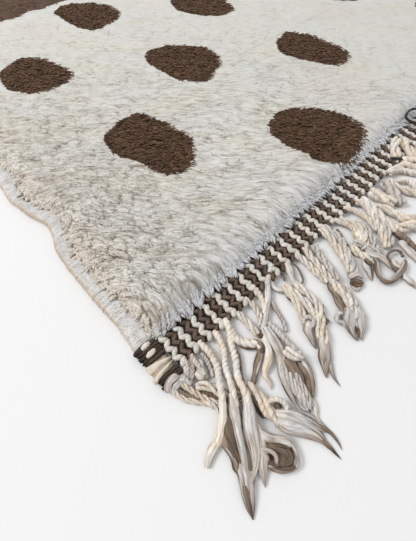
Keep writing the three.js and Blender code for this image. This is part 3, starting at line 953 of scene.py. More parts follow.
def build_selvedge(name, side, material):
    rng = np.random.default_rng(40 + side)
    wraps = int(LENGTH / WRAP_PITCH[side])
    stations = wraps * 2 + 1
    along = np.linspace(0.0004, LENGTH - 0.0004, stations)
    along[1:-1] += rng.uniform(-0.32, 0.32, stations - 2) * MM
    swell = np.tile([-0.4, 0.4], wraps + 1)[:stations] * MM
    swell = swell * np.repeat(rng.uniform(0.2, 1.7, wraps + 1), 2)[:stations]
    unevenness = 0.7 * MM * line_noise(along, 0.012, 50 + side)
    unevenness = unevenness + 0.9 * MM * line_noise(along, 0.05, 52 + side)
    profile = np.array(SELVEDGE_PROFILE) * MM
    outward = profile - np.array(SELVEDGE_MIDDLE) * MM
    outward /= np.linalg.norm(outward, axis=1, keepdims=True)
    outer = WIDTH / 2 + GAP + SELVEDGE_WIDTH + edge_shift(along, side)
    slant = (1.2 + 0.35 * rng.uniform(-1, 1, stations))[:, None] * MM * side
    calm_ends = smooth(np.minimum(along, LENGTH - along) / 0.01)[:, None]
    grow = (swell + unevenness)[:, None] * np.ones(len(profile))[None]
    grow[:, (profile[:, 1] < 1 * MM) | (profile[:, 0] > 19 * MM)] = 0
    points = np.empty((stations, len(profile), 3))
    across = profile[None, :, 0] + outward[None, :, 0] * grow
    points[..., 0] = side * (outer[:, None] - across) + (LEFT + RIGHT) / 2
    points[..., 1] = FRONT + along[:, None] + slant * (profile[None, :, 0] / SELVEDGE_WIDTH - 0.5) * calm_ends
    points[..., 2] = profile[None, :, 1] + outward[None, :, 1] * grow
    sides = len(profile)
    quads, caps = tube_faces(stations, sides), end_caps(stations, sides)
    if side < 0:
        quads, caps = quads[:, ::-1], caps[:, ::-1]
    # Painted shade in tan on the outer lower side of the edge, uneven along it.
    outer_shade = smooth((4.6 * MM - profile[:, 0]) / (5.5 * MM)) * smooth((10.5 * MM - profile[:, 1]) / (5 * MM))
    patchy = 0.85 + 0.3 * line_noise(along, 0.08, 60)
    # Painted shade in the groove after each turn, deeper at some turns than at others.
    groove = np.tile([0.05, 0.95], wraps + 1)[:stations] + 0.45 * rng.uniform(0, 1, stations) ** 2
    heap = Heap()
    heap.add(points, caps, quads, tone=np.clip(outer_shade * patchy[:, None], 0, 1), tip=np.repeat(groove, sides))
    return heap.piece(name, material, "cream_wrap")


# Corner wraps, in millimetres
CORNER_SETS = [
    {"name": "brown_inner", "width": 27.0, "height": 9.4, "lean": 0.5, "turns": (4.6, 3.6, 4.4, 3.4, 4.0)},
    {"name": "cream_inner", "width": 29.0, "height": 9.2, "lean": 2.0, "turns": (9.6, 5.9)},
    {"name": "brown_outer", "width": 26.5, "height": 8.6, "lean": 0.6, "turns": (3.8, 3.0, 3.2)},
    {"name": "cream_outer", "width": 22.0, "height": 8.0, "lean": 0.0, "turns": (9.0,)},
]
OVAL_STITCHES = [{"across": 12.5, "along": 2.6}, {"across": 13.0, "along": 12.2}]
STITCH_HEIGHT = 8.6
STITCH_SIZE = (12.5, 6.2, 5.2)
STITCH_TURN, STITCH_TONE = 0.10, 0.9
LOOP_POINTS, LOOP_SIDES = 24, 8
# The core inside the turns of yarn, as shares of their height and width
CORE_AT, CORE_WIDTH, CORE_DEPTH = 0.48, 0.78, 0.66
# How much a turn narrows, and how light it is, in brown and in cream
BROWN_LOOK, CREAM_LOOK = (0.1, 0.22), (0.9, 0.65)


def wound_loop(heap, inner_x, y, side, width, height, yarn, lean, tone, petal, shine, rng):
    """One turn of yarn round the edge cord.

    `petal` is how much the turn narrows towards the band, and `shine` how light it is.
    """
    angle = np.linspace(0, 2 * np.pi, LOOP_POINTS + 1)[:-1]
    thick = min(yarn, 0.62 * height) * rng.uniform(0.85, 1.1)
    half, rise = (width - thick) / 2, (height - thick) / 2
    outside = 0.5 + 0.5 * np.cos(angle)
    x = inner_x + side * (width / 2 + half * np.sign(np.cos(angle)) * np.abs(np.cos(angle)) ** 0.8)
    z = np.maximum(thick / 2 + rise + rise * np.sin(angle), thick / 2 + FLOOR_GAP)
    path = np.stack([x, y + lean * (1 - 2 * outside), z], axis=1)
    tangent = np.roll(path, -1, axis=0) - np.roll(path, 1, axis=0)
    tangent /= np.linalg.norm(tangent, axis=1, keepdims=True)
    out = np.cross(tangent, [0.0, 1.0, 0.0])
    out /= np.linalg.norm(out, axis=1, keepdims=True)
    across = np.cross(tangent, out)
    ring = np.arange(LOOP_SIDES) * 2 * np.pi / LOOP_SIDES
    uneven = 1 + (0.34 - 0.34 * petal) * rng.uniform(-1, 1, (LOOP_POINTS, LOOP_SIDES, 1))
    narrow = (0.5 * yarn * (1.04 - petal * (1 - outside) ** 1.3))[:, None, None]
    points = (
        path[:, None]
        + uneven * (thick / 2) * np.cos(ring)[None, :, None] * out[:, None]
        + uneven * narrow * np.sin(ring)[None, :, None] * across[:, None]
    )
    points[..., 2] = np.maximum(points[..., 2], FLOOR_GAP)
    # Painted shade: the outer side of each turn darker and tan, and the faces that press on the next turns
    # darker than those facing out.
    outer_shade = 0.35 * smooth((np.cos(angle) - 0.2) / 0.8)
    heap.add(
        points, None, tube_faces(LOOP_POINTS + 1, LOOP_SIDES) % (LOOP_POINTS * LOOP_SIDES),
        tone=tone,
        tip=np.repeat(shine - outer_shade, LOOP_SIDES) + 0.25 * np.tile(np.abs(np.cos(ring)), LOOP_POINTS),
        around=np.tile(np.arange(LOOP_SIDES) / LOOP_SIDES, LOOP_POINTS),
        along=np.repeat(np.arange(LOOP_POINTS) * width / 8, LOOP_SIDES) + tone,
    )


def build_corner(end_name, side_name, start, direction, side):
    rng = np.random.default_rng(70 + side + 3 * direction)
    inner_x = (RIGHT if side > 0 else LEFT) + side * GAP
    at = start + direction * GAP
    for row in CORNER_SETS:
        whole = round(sum(row["turns"]), 6)
        length, width, height = whole * MM, row["width"] * MM, row["height"] * MM
        is_brown = row["name"].startswith("brown")
        material, slot = (bead_brown, "brown_wrap") if is_brown else (cord_wool, "cream_wrap")
        look = BROWN_LOOK if is_brown else CREAM_LOOK
        heap = Heap()
        reached = 0.0
        for yarn in row["turns"]:
            y = at + direction * (reached + yarn / 2) * MM
            reached += yarn
            size = (width * rng.uniform(0.96, 1.03), height, yarn * 1.08 * MM)
            tone = rng.uniform(0.4, 1)
            lean = row["lean"] * direction * MM * (1 if reached < whole * 0.7 else -1)
            wound_loop(heap, inner_x, y, side, *size, lean, tone, *look, rng)
        middle, core_height = inner_x + side * width * 0.5, height * CORE_AT
        core = [[middle, at + direction * length * t, core_height] for t in (0.02, 0.5, 0.98)]
        tube(heap, core, width * CORE_WIDTH, height * CORE_DEPTH, sides=8, tone=0.2, tip=0.3)
        name = f"{end_name}_{side_name}_{row['name']}"
        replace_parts(heap.piece(f"wrap_{name}", material, slot), f"corner_{name}")
        at += direction * (length + GAP)
    stitches = Heap()
    places = np.array([
        [inner_x + side * stitch["across"] * MM, start + direction * stitch["along"] * MM, STITCH_HEIGHT * MM]
        for stitch in OVAL_STITCHES
    ])
    looks = (*(size * MM for size in STITCH_SIZE), STITCH_TURN * side * direction, STITCH_TONE)
    bead_heap(stitches, places, *(np.full(len(places), value) for value in looks), rng)
    piece = stitches.piece(f"stitches_{end_name}_{side_name}", bead_cream, "cream_wrap")
    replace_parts(piece, f"corner_{end_name}_{side_name}_brown_inner")


# Twined bands. A bead: how many sides it has, and the place and radius of each ring along it
BEAD_ROWS = 7
RIB_REPEATS = 82
CREAM_SHARE = 0.48
BEAD_HEIGHT, BEAD_TURN, BEAD_OVERLAP = 5.0, 0.72, 1.4 * MM
CORE_HEIGHT, CORE_THICK = 3.1 * MM, 5.8 * MM
FINE_BEAD = (8, [(-0.36, 0.36), (-0.12, 0.5), (0.16, 0.49), (0.38, 0.33)])
PLAIN_BEAD = (6, [(-0.28, 0.45), (0.28, 0.45)])


def bead_shape(sides, rings):
    """A rounded seed, one unit long, its axis along X."""
    angle = np.arange(sides) * 2 * np.pi / sides
    points = [(-0.5, 0.0, 0.0)]
    for along, radius in rings:
        points += [(along, radius * math.cos(a), radius * math.sin(a)) for a in angle]
    points.append((0.5, 0.0, 0.0))
    k = np.arange(sides)
    n = (k + 1) % sides
    first = np.stack([np.zeros(sides, int), n + 1, k + 1], axis=-1)
    end = len(points) - 1
    base = end - sides
    last = np.stack([base + k, base + n, np.full(sides, end)], axis=-1)
    return np.array(points), np.concatenate([first, last]), tube_faces(len(rings), sides) + 1


def bead_heap(heap, centre, length, width, height, angle, tone, rng, kind=FINE_BEAD):
    shape, tris, quads = bead_shape(*kind)
    count = len(centre)
    local = shape[None] * np.stack([length, width, height], axis=1)[:, None]
    local = local * (1 + rng.normal(0, 0.055, (count, len(shape), 1)))
    c, s = np.cos(angle)[:, None], np.sin(angle)[:, None]
    x = local[..., 0] * c - local[..., 1] * s
    y = local[..., 0] * s + local[..., 1] * c
    points = np.stack([x, y, local[..., 2]], axis=-1) + centre[:, None]
    base = (np.arange(count) * len(shape))[:, None, None]
    tone = np.repeat(tone, len(shape))
    # Painted light: each bead lighter on its top and darker at its sides and underside.
    heap.add(
        points, tris[None] + base, quads[None] + base,
        tone=tone,
        tip=np.tile(np.clip(0.05 + 0.9 * (shape[:, 2] + 0.5) - 1.1 * shape[:, 1] ** 2, 0, 1), count),
        around=np.tile(shape[:, 1], count),
        along=np.tile(shape[:, 0] * 0.01, count) + tone,
    )


def build_band(name, low_y, high_y, node, kind, seed):
    rng = np.random.default_rng(seed)
    repeat = WIDTH / RIB_REPEATS
    row_step = (high_y - low_y - 1 * MM) / BEAD_ROWS
    grid = np.meshgrid(np.arange(RIB_REPEATS), np.arange(BEAD_ROWS), indexing="ij")
    column, row = (numbers.ravel() for numbers in grid)
    zigzag = np.where(row % 2 == 0, 1.0, -1.0)
    for colour, share, offset, fat, material in (
        ("cream", CREAM_SHARE, CREAM_SHARE / 2, 1.2, bead_cream),
        ("brown", 1 - CREAM_SHARE, CREAM_SHARE + (1 - CREAM_SHARE) / 2, 1.0, bead_brown),
    ):
        x = LEFT + (column + offset) * repeat + zigzag * 0.5 * MM + rng.normal(0, 0.3, column.size) * MM
        y = low_y + 0.5 * MM + (row + 0.5) * row_step + rng.normal(0, 0.25, column.size) * MM
        wander = 1.0 * MM * soft_noise(x, y, 0.12, 83)
        length = repeat * share * rng.uniform(1.08, 1.25, column.size) + BEAD_OVERLAP
        centre = np.stack([x + wander, y, rng.normal(BEAD_HEIGHT, 0.2, column.size) * MM], axis=1)
        heap = Heap()
        bead_heap(
            heap, centre, length, fat * row_step * rng.uniform(0.86, 1.02, column.size),
            rng.uniform(6.0, 6.8, column.size) * MM, zigzag * BEAD_TURN + rng.normal(0, 0.10, column.size),
            rng.uniform(0, 1, column.size), rng, kind,
        )
        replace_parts(heap.piece(f"{name}_{colour}_twining", material, "two_tone_band"), node)
    heap = Heap()
    # The core between the beads is brown yarn, kept near the dark end of its colours as painted shade between
    # the beads.
    path = [[LEFT + WIDTH * t, (low_y + high_y) / 2, CORE_HEIGHT] for t in np.linspace(0, 1, 40)]
    tube(heap, path, high_y - low_y - 0.6 * MM, CORE_THICK, sides=8, turn=np.pi / 8, tone=0.1, tip=0.1)
    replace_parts(heap.piece(f"{name}_core", bead_brown, "two_tone_band"), node)


# Fringe
STRANDS = 144
STRAND_LENGTH, LENGTH_SPREAD = 104 * MM, 24 * MM
GROUP_MIN, GROUP_EXTRA, GROUP_PULL, GROUP_DRIFT = 2, 3, 0.36, 7 * MM
PLY_TURN, STEPS_PER_TURN, LONG_TURN = 1.35, 8, 12
HAND_LAID_REACH = 0.56
FURTHER_WIDTH, FURTHER_TURN, FURTHER_STEP = 6.6 * MM, 2.2, 3.2 * MM
SEEN_STEP = 2.3 * MM
FOLD_WIDTH, STRAY_SPACING = 2.1 * MM, 3.8 * MM
CABLE_SWELL = 1.05

# Strands of the seen corner. Each row: kind, wool, seen width in pixels, and the places that were read along
# the strand in the photograph: pixels across it, pixels down it, and height above the floor in millimetres.
# Strands in the shadowed wool, and rows named for shade, gaps or fills in umber or black, are painted shade:
# dark strands laid where the fringe lies in shade.
SEEN_STRANDS = {
    "crossing_cord_1": ("cord", "tan", 7.1, (199, 341, 4.5), (204, 347, 6), (209, 352, 5), (213, 359, 4.2),
        (217, 367, 4.5), (218.5, 376, 8), (220, 384, 11.5), (221.5, 393, 12), (223, 402, 11.5), (223, 410, 9),
        (222.5, 417, 6)),
    "crossing_cord_2": ("cord", "tan", 6.6, (214, 330.5, 4.5), (218, 337, 6), (221, 343, 5), (224, 352, 4),
        (224.6, 360, 4), (226, 370, 4.5), (229, 378, 8), (231.7, 387, 11.5), (234, 395, 12), (235.5, 404, 11),
        (236.5, 412, 8), (237, 420, 5)),
    "crossing_cord_3": ("cord", "tan", 7.3, (224.5, 318.5, 4.5), (227.5, 325, 6), (230, 334, 5),
        (231, 343, 4.5), (233.5, 352, 4.2), (236, 362, 4.2), (236.5, 370, 4.5), (238.5, 379, 8),
        (242.5, 387, 12), (246.3, 395, 12.5), (249, 404, 12), (251, 413, 10), (253, 422, 7)),
    "beside_cord_3": ("cord", "umber", 2.4, (235, 347, 4), (239, 355, 3.6), (241, 366, 3.4),
        (241.5, 374, 3.6), (244, 383, 5)),
    "stub_end": ("blunt", "tan", 8, (226.5, 418, 6), (222.5, 428, 4.5), (217.5, 440, 3.2), (212.3, 450, 2.8),
        (208.7, 459, 2.6), (206.7, 468, 2.4)),
    # Painted shade in the tail's brown hollow.
    "tail_brown": ("tuft", "shadowed", 13, (227, 408, 6), (228.5, 420, 6), (231, 436, 5.2), (235.5, 450, 4.4),
        (241, 464, 3.8), (244, 476, 3)),
    "tail_low": ("tuft", "grey", 15, (241.5, 450, 0.5), (244.3, 463, 1.5), (246.6, 476, 2.2), (248, 494, 2.2),
        (253, 520, 1.2)),
    # Painted shade along the tail's left side.
    "tail_shaded_side": ("tuft", "umber", 4.4, (244.5, 486, 4.6), (247, 497, 4.2), (250, 509, 3.2),
        (253, 518.5, 1.6)),
    "tail_first": ("blunt", "tan", 8, (222, 397, 13), (222.8, 407, 12.5), (223.2, 417, 9), (222, 427, 6.4),
        (220, 437, 4.6), (217.5, 446, 3.4)),
    "tail_flap": ("blunt", "umber", 13, (222, 425, 3), (227, 437, 2.6), (232, 448, 2.4), (238, 460, 2.2),
        (242, 474, 2)),
    "flap_edge": ("tuft", "grey", 3.6, (221, 436, 4.4), (226, 447, 4.2), (232, 457, 3.8), (238, 468, 3.2),
        (242, 480, 2.4)),
    "flap_streak": ("tuft", "grey", 3, (228, 418, 8), (229.5, 432, 7), (233, 446, 6.2), (238, 460, 5.4)),
    "flap_cross": ("tuft", "umber", 3.4, (225, 441, 5), (230, 437, 5.6), (236, 434, 6)),
    "tail_middle": ("tuft", "white", 8.5, (231, 393, 13), (233.5, 405, 12.5), (236, 418, 9), (238.5, 433, 7),
        (242, 448, 6.4), (245, 464, 5.6), (246.5, 478, 4.4), (248.5, 492, 3)),
    "tail_main": ("tuft", "white", 12.5, (246, 396, 13.5), (249, 409, 12), (250.5, 424, 8.5), (253.5, 440, 7),
        (256, 454, 6), (255, 468, 5), (252, 481, 3.8), (250.5, 490, 2.4)),
    "tail_right": ("tuft", "white", 11.5, (255, 424, 6), (258.5, 437, 5.6), (261, 450, 4.8), (262, 462, 4.2),
        (263, 473, 3), (265.3, 488, 1.3)),
    "tail_fill": ("blunt", "shadowed", 15, (243, 422, 3.6), (247, 440, 3.2), (249, 456, 2.8), (251, 473, 2.4)),
    "tail_gap": ("blunt", "umber", 11, (228, 391, 4), (234, 404, 4), (239.5, 416, 4), (243, 428, 4)),
    "tail_gap_streak": ("tuft", "grey", 3, (240, 404, 6.4), (243, 416, 5.4), (245, 430, 5),
        (247.5, 446, 4.8)),
    "low_sweep_1": ("cable", "tan", 6, (173, 389, 4), (178, 395, 3.5), (185, 399, 3.4), (193, 401, 3.4),
        (202, 402, 3.4), (210, 403.5, 3.4), (217, 408, 3.4), (221, 413, 3), (226, 418, 3)),
    "low_sweep_2": ("cord", "umber", 4.5, (177, 389, 4), (185, 394, 3.5), (193, 397, 3.5), (201, 399, 3.5),
        (212, 401, 3.4)),
    "low_sweep_3": ("cable", "tan", 6, (178, 381.5, 6), (187.5, 388, 4.5), (195, 393, 4.5), (203, 397.5, 4.2),
        (212, 401, 4), (219, 402, 4), (228, 403, 3.8), (238, 404, 3.8), (247, 402, 4), (255, 403, 4)),
    "mid_sweep_1": ("cable", "tan", 9, (196, 388, 4.5), (204, 386, 5), (212, 388, 4.8), (218, 392, 4.5),
        (228, 395, 4.4), (238, 394, 4.4), (246, 389, 4.8)),
    "mid_sweep_2": ("cord", "shadowed", 5.5, (202, 392, 3.5), (208, 394.5, 3.2), (215, 397, 3.2),
        (224, 399, 3)),
    "thick_rope": ("cable", "tan", 11.5, (246, 386, 5.5), (252, 391, 5.7), (258, 397, 5.7), (265, 406, 5.7),
        (271, 413, 5.4), (278, 419, 4.6), (286, 422, 3.6)),
    "rope_under": ("blunt", "shadowed", 10, (246, 396, 3), (253, 402, 3), (261, 409, 3), (268, 416, 3)),
    "rope_shade": ("tuft", "shadowed", 4.5, (250, 396, 9.5), (255, 401.5, 8.5), (259, 408, 7), (262, 416, 5)),
    "rope_tail_1": ("tuft", "white", 10, (276, 413, 7), (285, 414, 6.5), (295, 416, 5), (305, 420, 3.8),
        (316, 426, 3), (328, 433, 2)),
    "rope_tip_1": ("tuft", "umber", 3, (312, 423, 2.8), (322, 427.5, 2.6), (331, 433.5, 2.2), (338, 442, 1.6),
        (342.3, 450.5, 1)),
    "rope_tail_2": ("tuft", "white", 12, (277, 420, 7), (288, 421.5, 6), (299, 424, 4.4), (309, 428.5, 3.4),
        (319, 435, 2.6), (328, 445, 1.8)),
    "rope_tip_2": ("tuft", "umber", 3.4, (314, 432, 2.8), (322, 438.5, 2.4), (329, 446, 2), (335, 453, 1.6),
        (341.5, 459.6, 1)),
    "rope_tail_3": ("tuft", "grey", 10, (276, 424, 4.4), (288, 428.5, 3.4), (300, 430.5, 3),
        (311, 434.5, 2.4), (322, 441, 2), (330, 450, 1.6)),
    "rope_loop": ("cord", "tan", 5, (268, 402, 7), (273, 399.5, 8), (280, 400, 8), (285, 404, 7),
        (286.5, 409, 6), (284, 412.5, 5)),
    "loop_fill": ("blunt", "shadowed", 7, (274, 404, 4.5), (278, 407, 5), (280, 411, 4.5)),
    "folded_top": ("blunt", "white", 7, (256, 428, 6), (262, 434, 6.5), (270, 438, 6.5), (280, 439.5, 6.5),
        (288, 441.5, 6), (293, 446, 5)),
    "folded_rim": ("blunt", "grey", 3.6, (289, 441, 6), (293.5, 447, 5.6), (297, 455, 5.2), (298.5, 463, 4.6),
        (294, 468.5, 4), (285, 471, 3.6), (276, 470, 3.2), (267, 465, 3)),
    "folded_low": ("blunt", "umber", 3.4, (295.5, 467, 4.6), (289.5, 470.5, 4.5), (280, 471.6, 4.2),
        (270, 468.5, 3.8)),
    "folded_inner": ("blunt", "shadowed", 10, (260, 443, 2.6), (270, 446, 3), (280, 448, 3), (287, 453, 2.4),
        (289, 460, 2), (284, 464, 1.6)),
    "folded_hook": ("blunt", "grey", 3.8, (257, 446, 6.4), (264, 449.5, 7.4), (271, 451.5, 7.8),
        (276, 456, 7.4), (276.8, 464, 5.6)),
    "folded_base": ("blunt", "white", 7, (257, 441, 5.2), (260, 449, 6), (264.5, 455, 5.6), (268, 461, 4.4)),
    "folded_light": ("blunt", "umber", 3.2, (264, 444, 5), (273, 446, 5), (282, 446.5, 4.8), (290, 449, 4.4)),
    "folded_fill": ("blunt", "shadowed", 19, (262, 453, -1.5), (270, 456, -1.5), (281, 457, -1.5),
        (293, 459, -1.5)),
    "side_cord": ("cord", "tan", 8, (229, 335, 5), (235, 339, 4.8), (243, 342.5, 4.6), (250, 344, 4.6),
        (257, 343.5, 4.8), (262, 348, 4.4)),
    "side_knot": ("blunt", "umber", 4.5, (254, 340, 7.4), (258.5, 342.5, 8), (262, 347, 7.4),
        (261.5, 353, 5.4)),
    "side_shade": ("blunt", "shadowed", 4.5, (239, 344.5, 2.8), (247, 347.4, 2.8), (256, 348, 2.8)),
    "side_cord_top": ("cord", "tan", 5, (231, 329, 5), (236, 336, 4.6), (242, 340, 5), (250, 341, 6)),
    "hanging_end_1": ("blunt", "umber", 6.6, (262.5, 342, 3.6), (261, 349, 3.6), (259, 356, 3),
        (256.5, 366, 2.6), (255, 375, 2.4), (253, 385, 2)),
    "hanging_light": ("blunt", "grey", 2.6, (262.5, 348, 5.4), (261, 356, 4.6), (258.8, 366, 4),
        (256.6, 375, 3.4)),
    "hanging_end_2": ("blunt", "tan", 8, (262, 332, 5), (267.5, 346, 4.2), (268.7, 358, 3.6),
        (266, 367.5, 3.2), (264, 374, 3)),
    "hanging_end_3": ("tuft", "tan", 4.5, (264, 370, 3), (265, 376, 3), (269, 381, 2.8), (271, 385, 2.4),
        (271.2, 390, 1.4)),
    "joining_knot": ("blunt", "shadowed", 6, (257, 330, 5.5), (260, 334, 6), (263, 338, 5.5)),
    "pale_lock": ("tuft", "white", 11, (266, 327, 6), (272, 338, 5.5), (277, 346, 5), (281, 355, 4.6),
        (282, 366, 4), (284, 377, 3.6), (288.5, 389, 3.2), (294, 401, 2.8), (300, 411, 2)),
    "pale_thread": ("tuft", "grey", 3, (294, 401, 2.6), (300, 410.5, 2), (308, 414, 1.6), (318, 420, 1.4),
        (328, 429, 1.4), (334, 434, 1.4)),
    "pale_edge": ("tuft", "umber", 5, (279, 352, 4), (279.5, 364, 3), (281, 374, 2.6), (285, 386, 2.4),
        (290, 396, 2), (299, 410, 1.6)),
    "to_knot_cord": ("cord", "white", 6.2, (268, 322, 5), (272, 326, 5), (278, 332, 5), (285, 339.5, 5),
        (291, 346, 5.5), (297, 352, 6.5)),
    "big_knot": ("cable", "tan", 9.5, (284, 350, 7.5), (290, 353.5, 8.5), (296, 356, 9), (303, 356.5, 8)),
    "knot_shade": ("tuft", "umber", 13, (286, 359, 5), (291, 367, 4.6), (296, 375, 4.2), (301, 386, 3.6),
        (305, 396, 2.6)),
    "knot_dark": ("tuft", "shadowed", 4.5, (281, 362, 3.6), (281, 374, 3.4), (284.5, 386, 3), (291, 398, 2.6),
        (299, 409, 1.8)),
    "knot_mid": ("tuft", "umber", 8, (284, 366, 4.2), (292, 378, 4.2), (300, 392, 3.8), (311, 413, 1.8)),
    "knot_fill": ("blunt", "umber", 9, (298, 361, 3), (303.5, 370, 2.8), (307.5, 382, 2.6), (310, 394, 2.4)),
    "knot_edge": ("tuft", "grey", 6, (301, 358, 6), (304, 363, 4.5), (309, 371, 3.5), (312, 381, 3),
        (313, 392, 2.8), (313.2, 403, 2.4)),
    "knot_barb": ("tuft", "grey", 3, (303, 357, 6), (308, 364, 4), (311.5, 371, 3)),
    "knot_cord": ("cable", "white", 6.5, (282.5, 366, 5.2), (287, 375, 5.2), (293, 386, 4.8), (300, 397, 4),
        (309, 410, 2.6)),
    "knot_lock": ("cable", "white", 6, (295, 373, 5.8), (299, 380, 5.8), (303.5, 388, 5.4), (308, 397, 4.6),
        (311, 407, 3)),
    "knot_lock_2": ("cable", "tan", 5, (287, 371, 5), (294, 383, 5), (301, 394, 4.6), (309, 408, 3)),
    "knot_tip": ("tuft", "tan", 3.6, (312, 398, 3), (315.5, 408, 2.4), (317, 417, 1.8), (323, 425, 1.4)),
    "pale_upright": ("blunt", "white", 6, (272.5, 264, 7), (269.5, 272, 6), (268, 282, 5.5), (268, 290, 5),
        (268.3, 298, 5), (267, 308, 5), (266, 317, 5), (264.3, 325, 5), (263, 334, 5)),
    "left_feeder_1": ("cord", "tan", 6, (251, 285, 5), (257.5, 292.5, 4), (261.7, 299, 3.6), (264, 306, 3.6),
        (265, 314, 3.6)),
    "left_feeder_2": ("cable", "tan", 6, (244, 299, 5), (251, 303, 4), (256, 310, 3.6), (260, 317, 3.6),
        (262, 326, 3.6)),
    "left_feeder_3": ("cable", "tan", 7.5, (237, 312, 5), (246.7, 322, 4.4), (252.5, 329, 4.4),
        (258, 335, 4.4)),
    "thin_twist": ("cord", "grey", 4, (270, 298, 3), (275, 308, 2.6), (280, 316, 2.4), (284, 323, 2.2),
        (286, 332, 2)),
    "ring_thin": ("cord", "umber", 2.2, (272, 286, 3), (271.5, 279, 3), (273.5, 273, 3), (278, 271.5, 3.4),
        (283, 274.5, 3), (284.5, 281, 3)),
    "ring_thick": ("blunt", "white", 6, (271, 279, 3), (273.5, 286, 3.2), (279, 289.5, 3.4), (286, 290, 3.6),
        (292, 291, 4)),
    "lock_h_root": ("blunt", "white", 7, (286, 263, 6), (290, 272, 5), (293, 280, 4), (296, 287, 4)),
    "lock_h_curl": ("cord", "umber", 2, (291, 262, 6), (297, 267, 5), (301, 274, 4), (303, 281, 3),
        (299, 287, 4)),
    "lock_h_left": ("cable", "tan", 8, (283, 285, 4), (288, 291, 5), (293, 298, 5), (298, 305, 4.6),
        (302, 313, 4.2), (305, 320, 4.2)),
    "lock_h_middle": ("cable", "tan", 8, (287, 287, 6), (294, 293, 6.5), (301, 299, 6.5), (308, 306, 6),
        (314, 314, 5.5), (317.5, 323, 5), (319.5, 332, 4.6), (323, 342, 4.2)),
    "lock_h_right": ("cable", "tan", 8, (294, 283, 4.5), (303, 290, 5), (311, 297, 5), (317, 305, 4.6),
        (320, 314, 4.2), (321.5, 324, 4), (324, 334, 3.8), (326, 345, 3.6)),
    "lock_h_shade": ("blunt", "shadowed", 6, (286, 289, 3), (290, 297, 2.6), (296, 304, 2.4)),
    "lock_h_knot": ("cord", "white", 4.4, (303, 325, 6), (304, 319, 7.5), (309, 317, 8.5), (313.5, 321, 7.5),
        (312, 327, 6)),
    "lock_h_fill": ("blunt", "tan", 8, (305, 321, 5), (309, 325, 5), (311, 329, 4.4)),
    "lock_h_tip": ("tuft", "grey", 8, (305, 325, 4), (309.5, 334, 3.4), (312.5, 341, 2.6), (316, 349, 1.4)),
    "lock_h_tail": ("tuft", "grey", 12, (322, 338, 4), (324.5, 350, 3.6), (325, 362, 3.2), (326.5, 378, 1.6)),
    "lock_h_thread": ("tuft", "grey", 4.5, (326, 343, 3.6), (328.5, 355, 3.2), (330.5, 366, 2.6),
        (334, 377, 1.8), (340.5, 387, 1.2)),
    "lock_h_hook": ("tuft", "grey", 3.4, (321, 318, 4), (322, 311, 4.4), (323.7, 304, 4)),
    "lock_h_bow": ("cord", "umber", 2.4, (323, 312, 4.4), (325, 318, 4), (328.5, 321, 3.4), (326, 324, 3)),
    "lock_i_left": ("cable", "tan", 6.5, (296, 254.5, 7), (302, 259.5, 5), (308, 264.5, 4.4),
        (314, 270.5, 4.2), (320.5, 276.5, 4.2), (328, 282, 4.2)),
    "lock_i_middle": ("cable", "tan", 7, (304, 247, 7), (309, 255, 6), (315, 262, 5.4), (321, 269, 5),
        (327, 276, 5), (333, 284, 5)),
    "lock_i_right": ("cable", "white", 7, (313, 245, 7), (317.5, 252, 5.4), (321.5, 258.5, 5),
        (327, 265, 4.8), (332, 272, 4.6), (337, 281, 4.6)),
    "lock_i_trunk_1": ("cable", "tan", 8, (331, 280, 5), (337, 287, 5.5), (343, 294, 5.5), (349, 302, 5.2),
        (353, 311, 5), (355, 320, 5)),
    "lock_i_trunk_2": ("blunt", "umber", 7.5, (329, 283, 4), (334, 292, 4), (338.5, 301, 3.8),
        (343, 310, 3.6), (347, 317, 4)),
    "lock_i_trunk_3": ("cable", "white", 6.5, (340, 285, 4.5), (348, 294, 4.4), (354, 302, 4.2),
        (358, 311, 4), (359.5, 320, 4)),
    "lock_i_end_1": ("tuft", "grey", 13, (348, 308, 6), (350, 318, 5.4), (352, 328, 4.4), (357, 341, 2.4)),
    "lock_i_end_2": ("tuft", "white", 11, (357, 308, 5.4), (359.5, 318, 5), (360.5, 328, 4.2),
        (361.8, 341, 1.8)),
    "lock_i_end_3": ("tuft", "white", 8, (345, 319, 4), (348.5, 327, 3.6), (353, 336, 2.2)),
    "lock_i_shade": ("blunt", "shadowed", 5, (355, 325, 6), (357, 331, 5), (359, 337, 3)),
    "lock_i_knob": ("cord", "white", 4, (345, 314, 4), (339.5, 313.5, 5), (336.5, 317, 5), (338, 321.5, 4.6),
        (344, 322, 4)),
    "lock_j_left": ("cable", "tan", 7, (319, 229.5, 5), (327, 235, 6.4), (333, 242, 5.4), (338, 250, 5),
        (343, 257, 5), (347.5, 264.5, 5), (350, 273, 5)),
    "lock_j_right": ("cable", "white", 7.5, (322.5, 226, 5), (331, 232.5, 6.4), (337, 236, 6),
        (342, 243.5, 5.4), (346, 251, 5), (350, 259, 5), (353.5, 268, 5), (355.5, 276, 5)),
    "lock_j_thin_1": ("cord", "umber", 2.6, (337, 229, 5), (342, 237, 4.6), (345.5, 243, 4.4),
        (350, 249, 4.4)),
    "lock_j_thin_2": ("cord", "tan", 2.8, (334, 230, 5), (340, 239, 4.6), (344, 246, 4.4), (349, 253, 4.4)),
    "lock_j_lip": ("blunt", "grey", 5.5, (348.5, 278, 6), (353, 275, 8), (359, 274.5, 8), (363, 278, 6)),
    "lock_j_shade": ("blunt", "shadowed", 8, (350.5, 281.5, 3.6), (357, 283.5, 3.4), (362.5, 281.5, 3.6)),
    "lock_j_under": ("blunt", "grey", 3.2, (351, 283, 3), (353.5, 287.5, 2.8), (356.5, 289.5, 2.6),
        (360.5, 286, 2.8), (362.5, 281, 3)),
    "lock_k_1": ("cable", "tan", 5, (334, 220, 7), (341, 222.5, 6), (348, 225.5, 5.4), (354, 230, 5),
        (358.5, 237, 5), (359, 244, 5)),
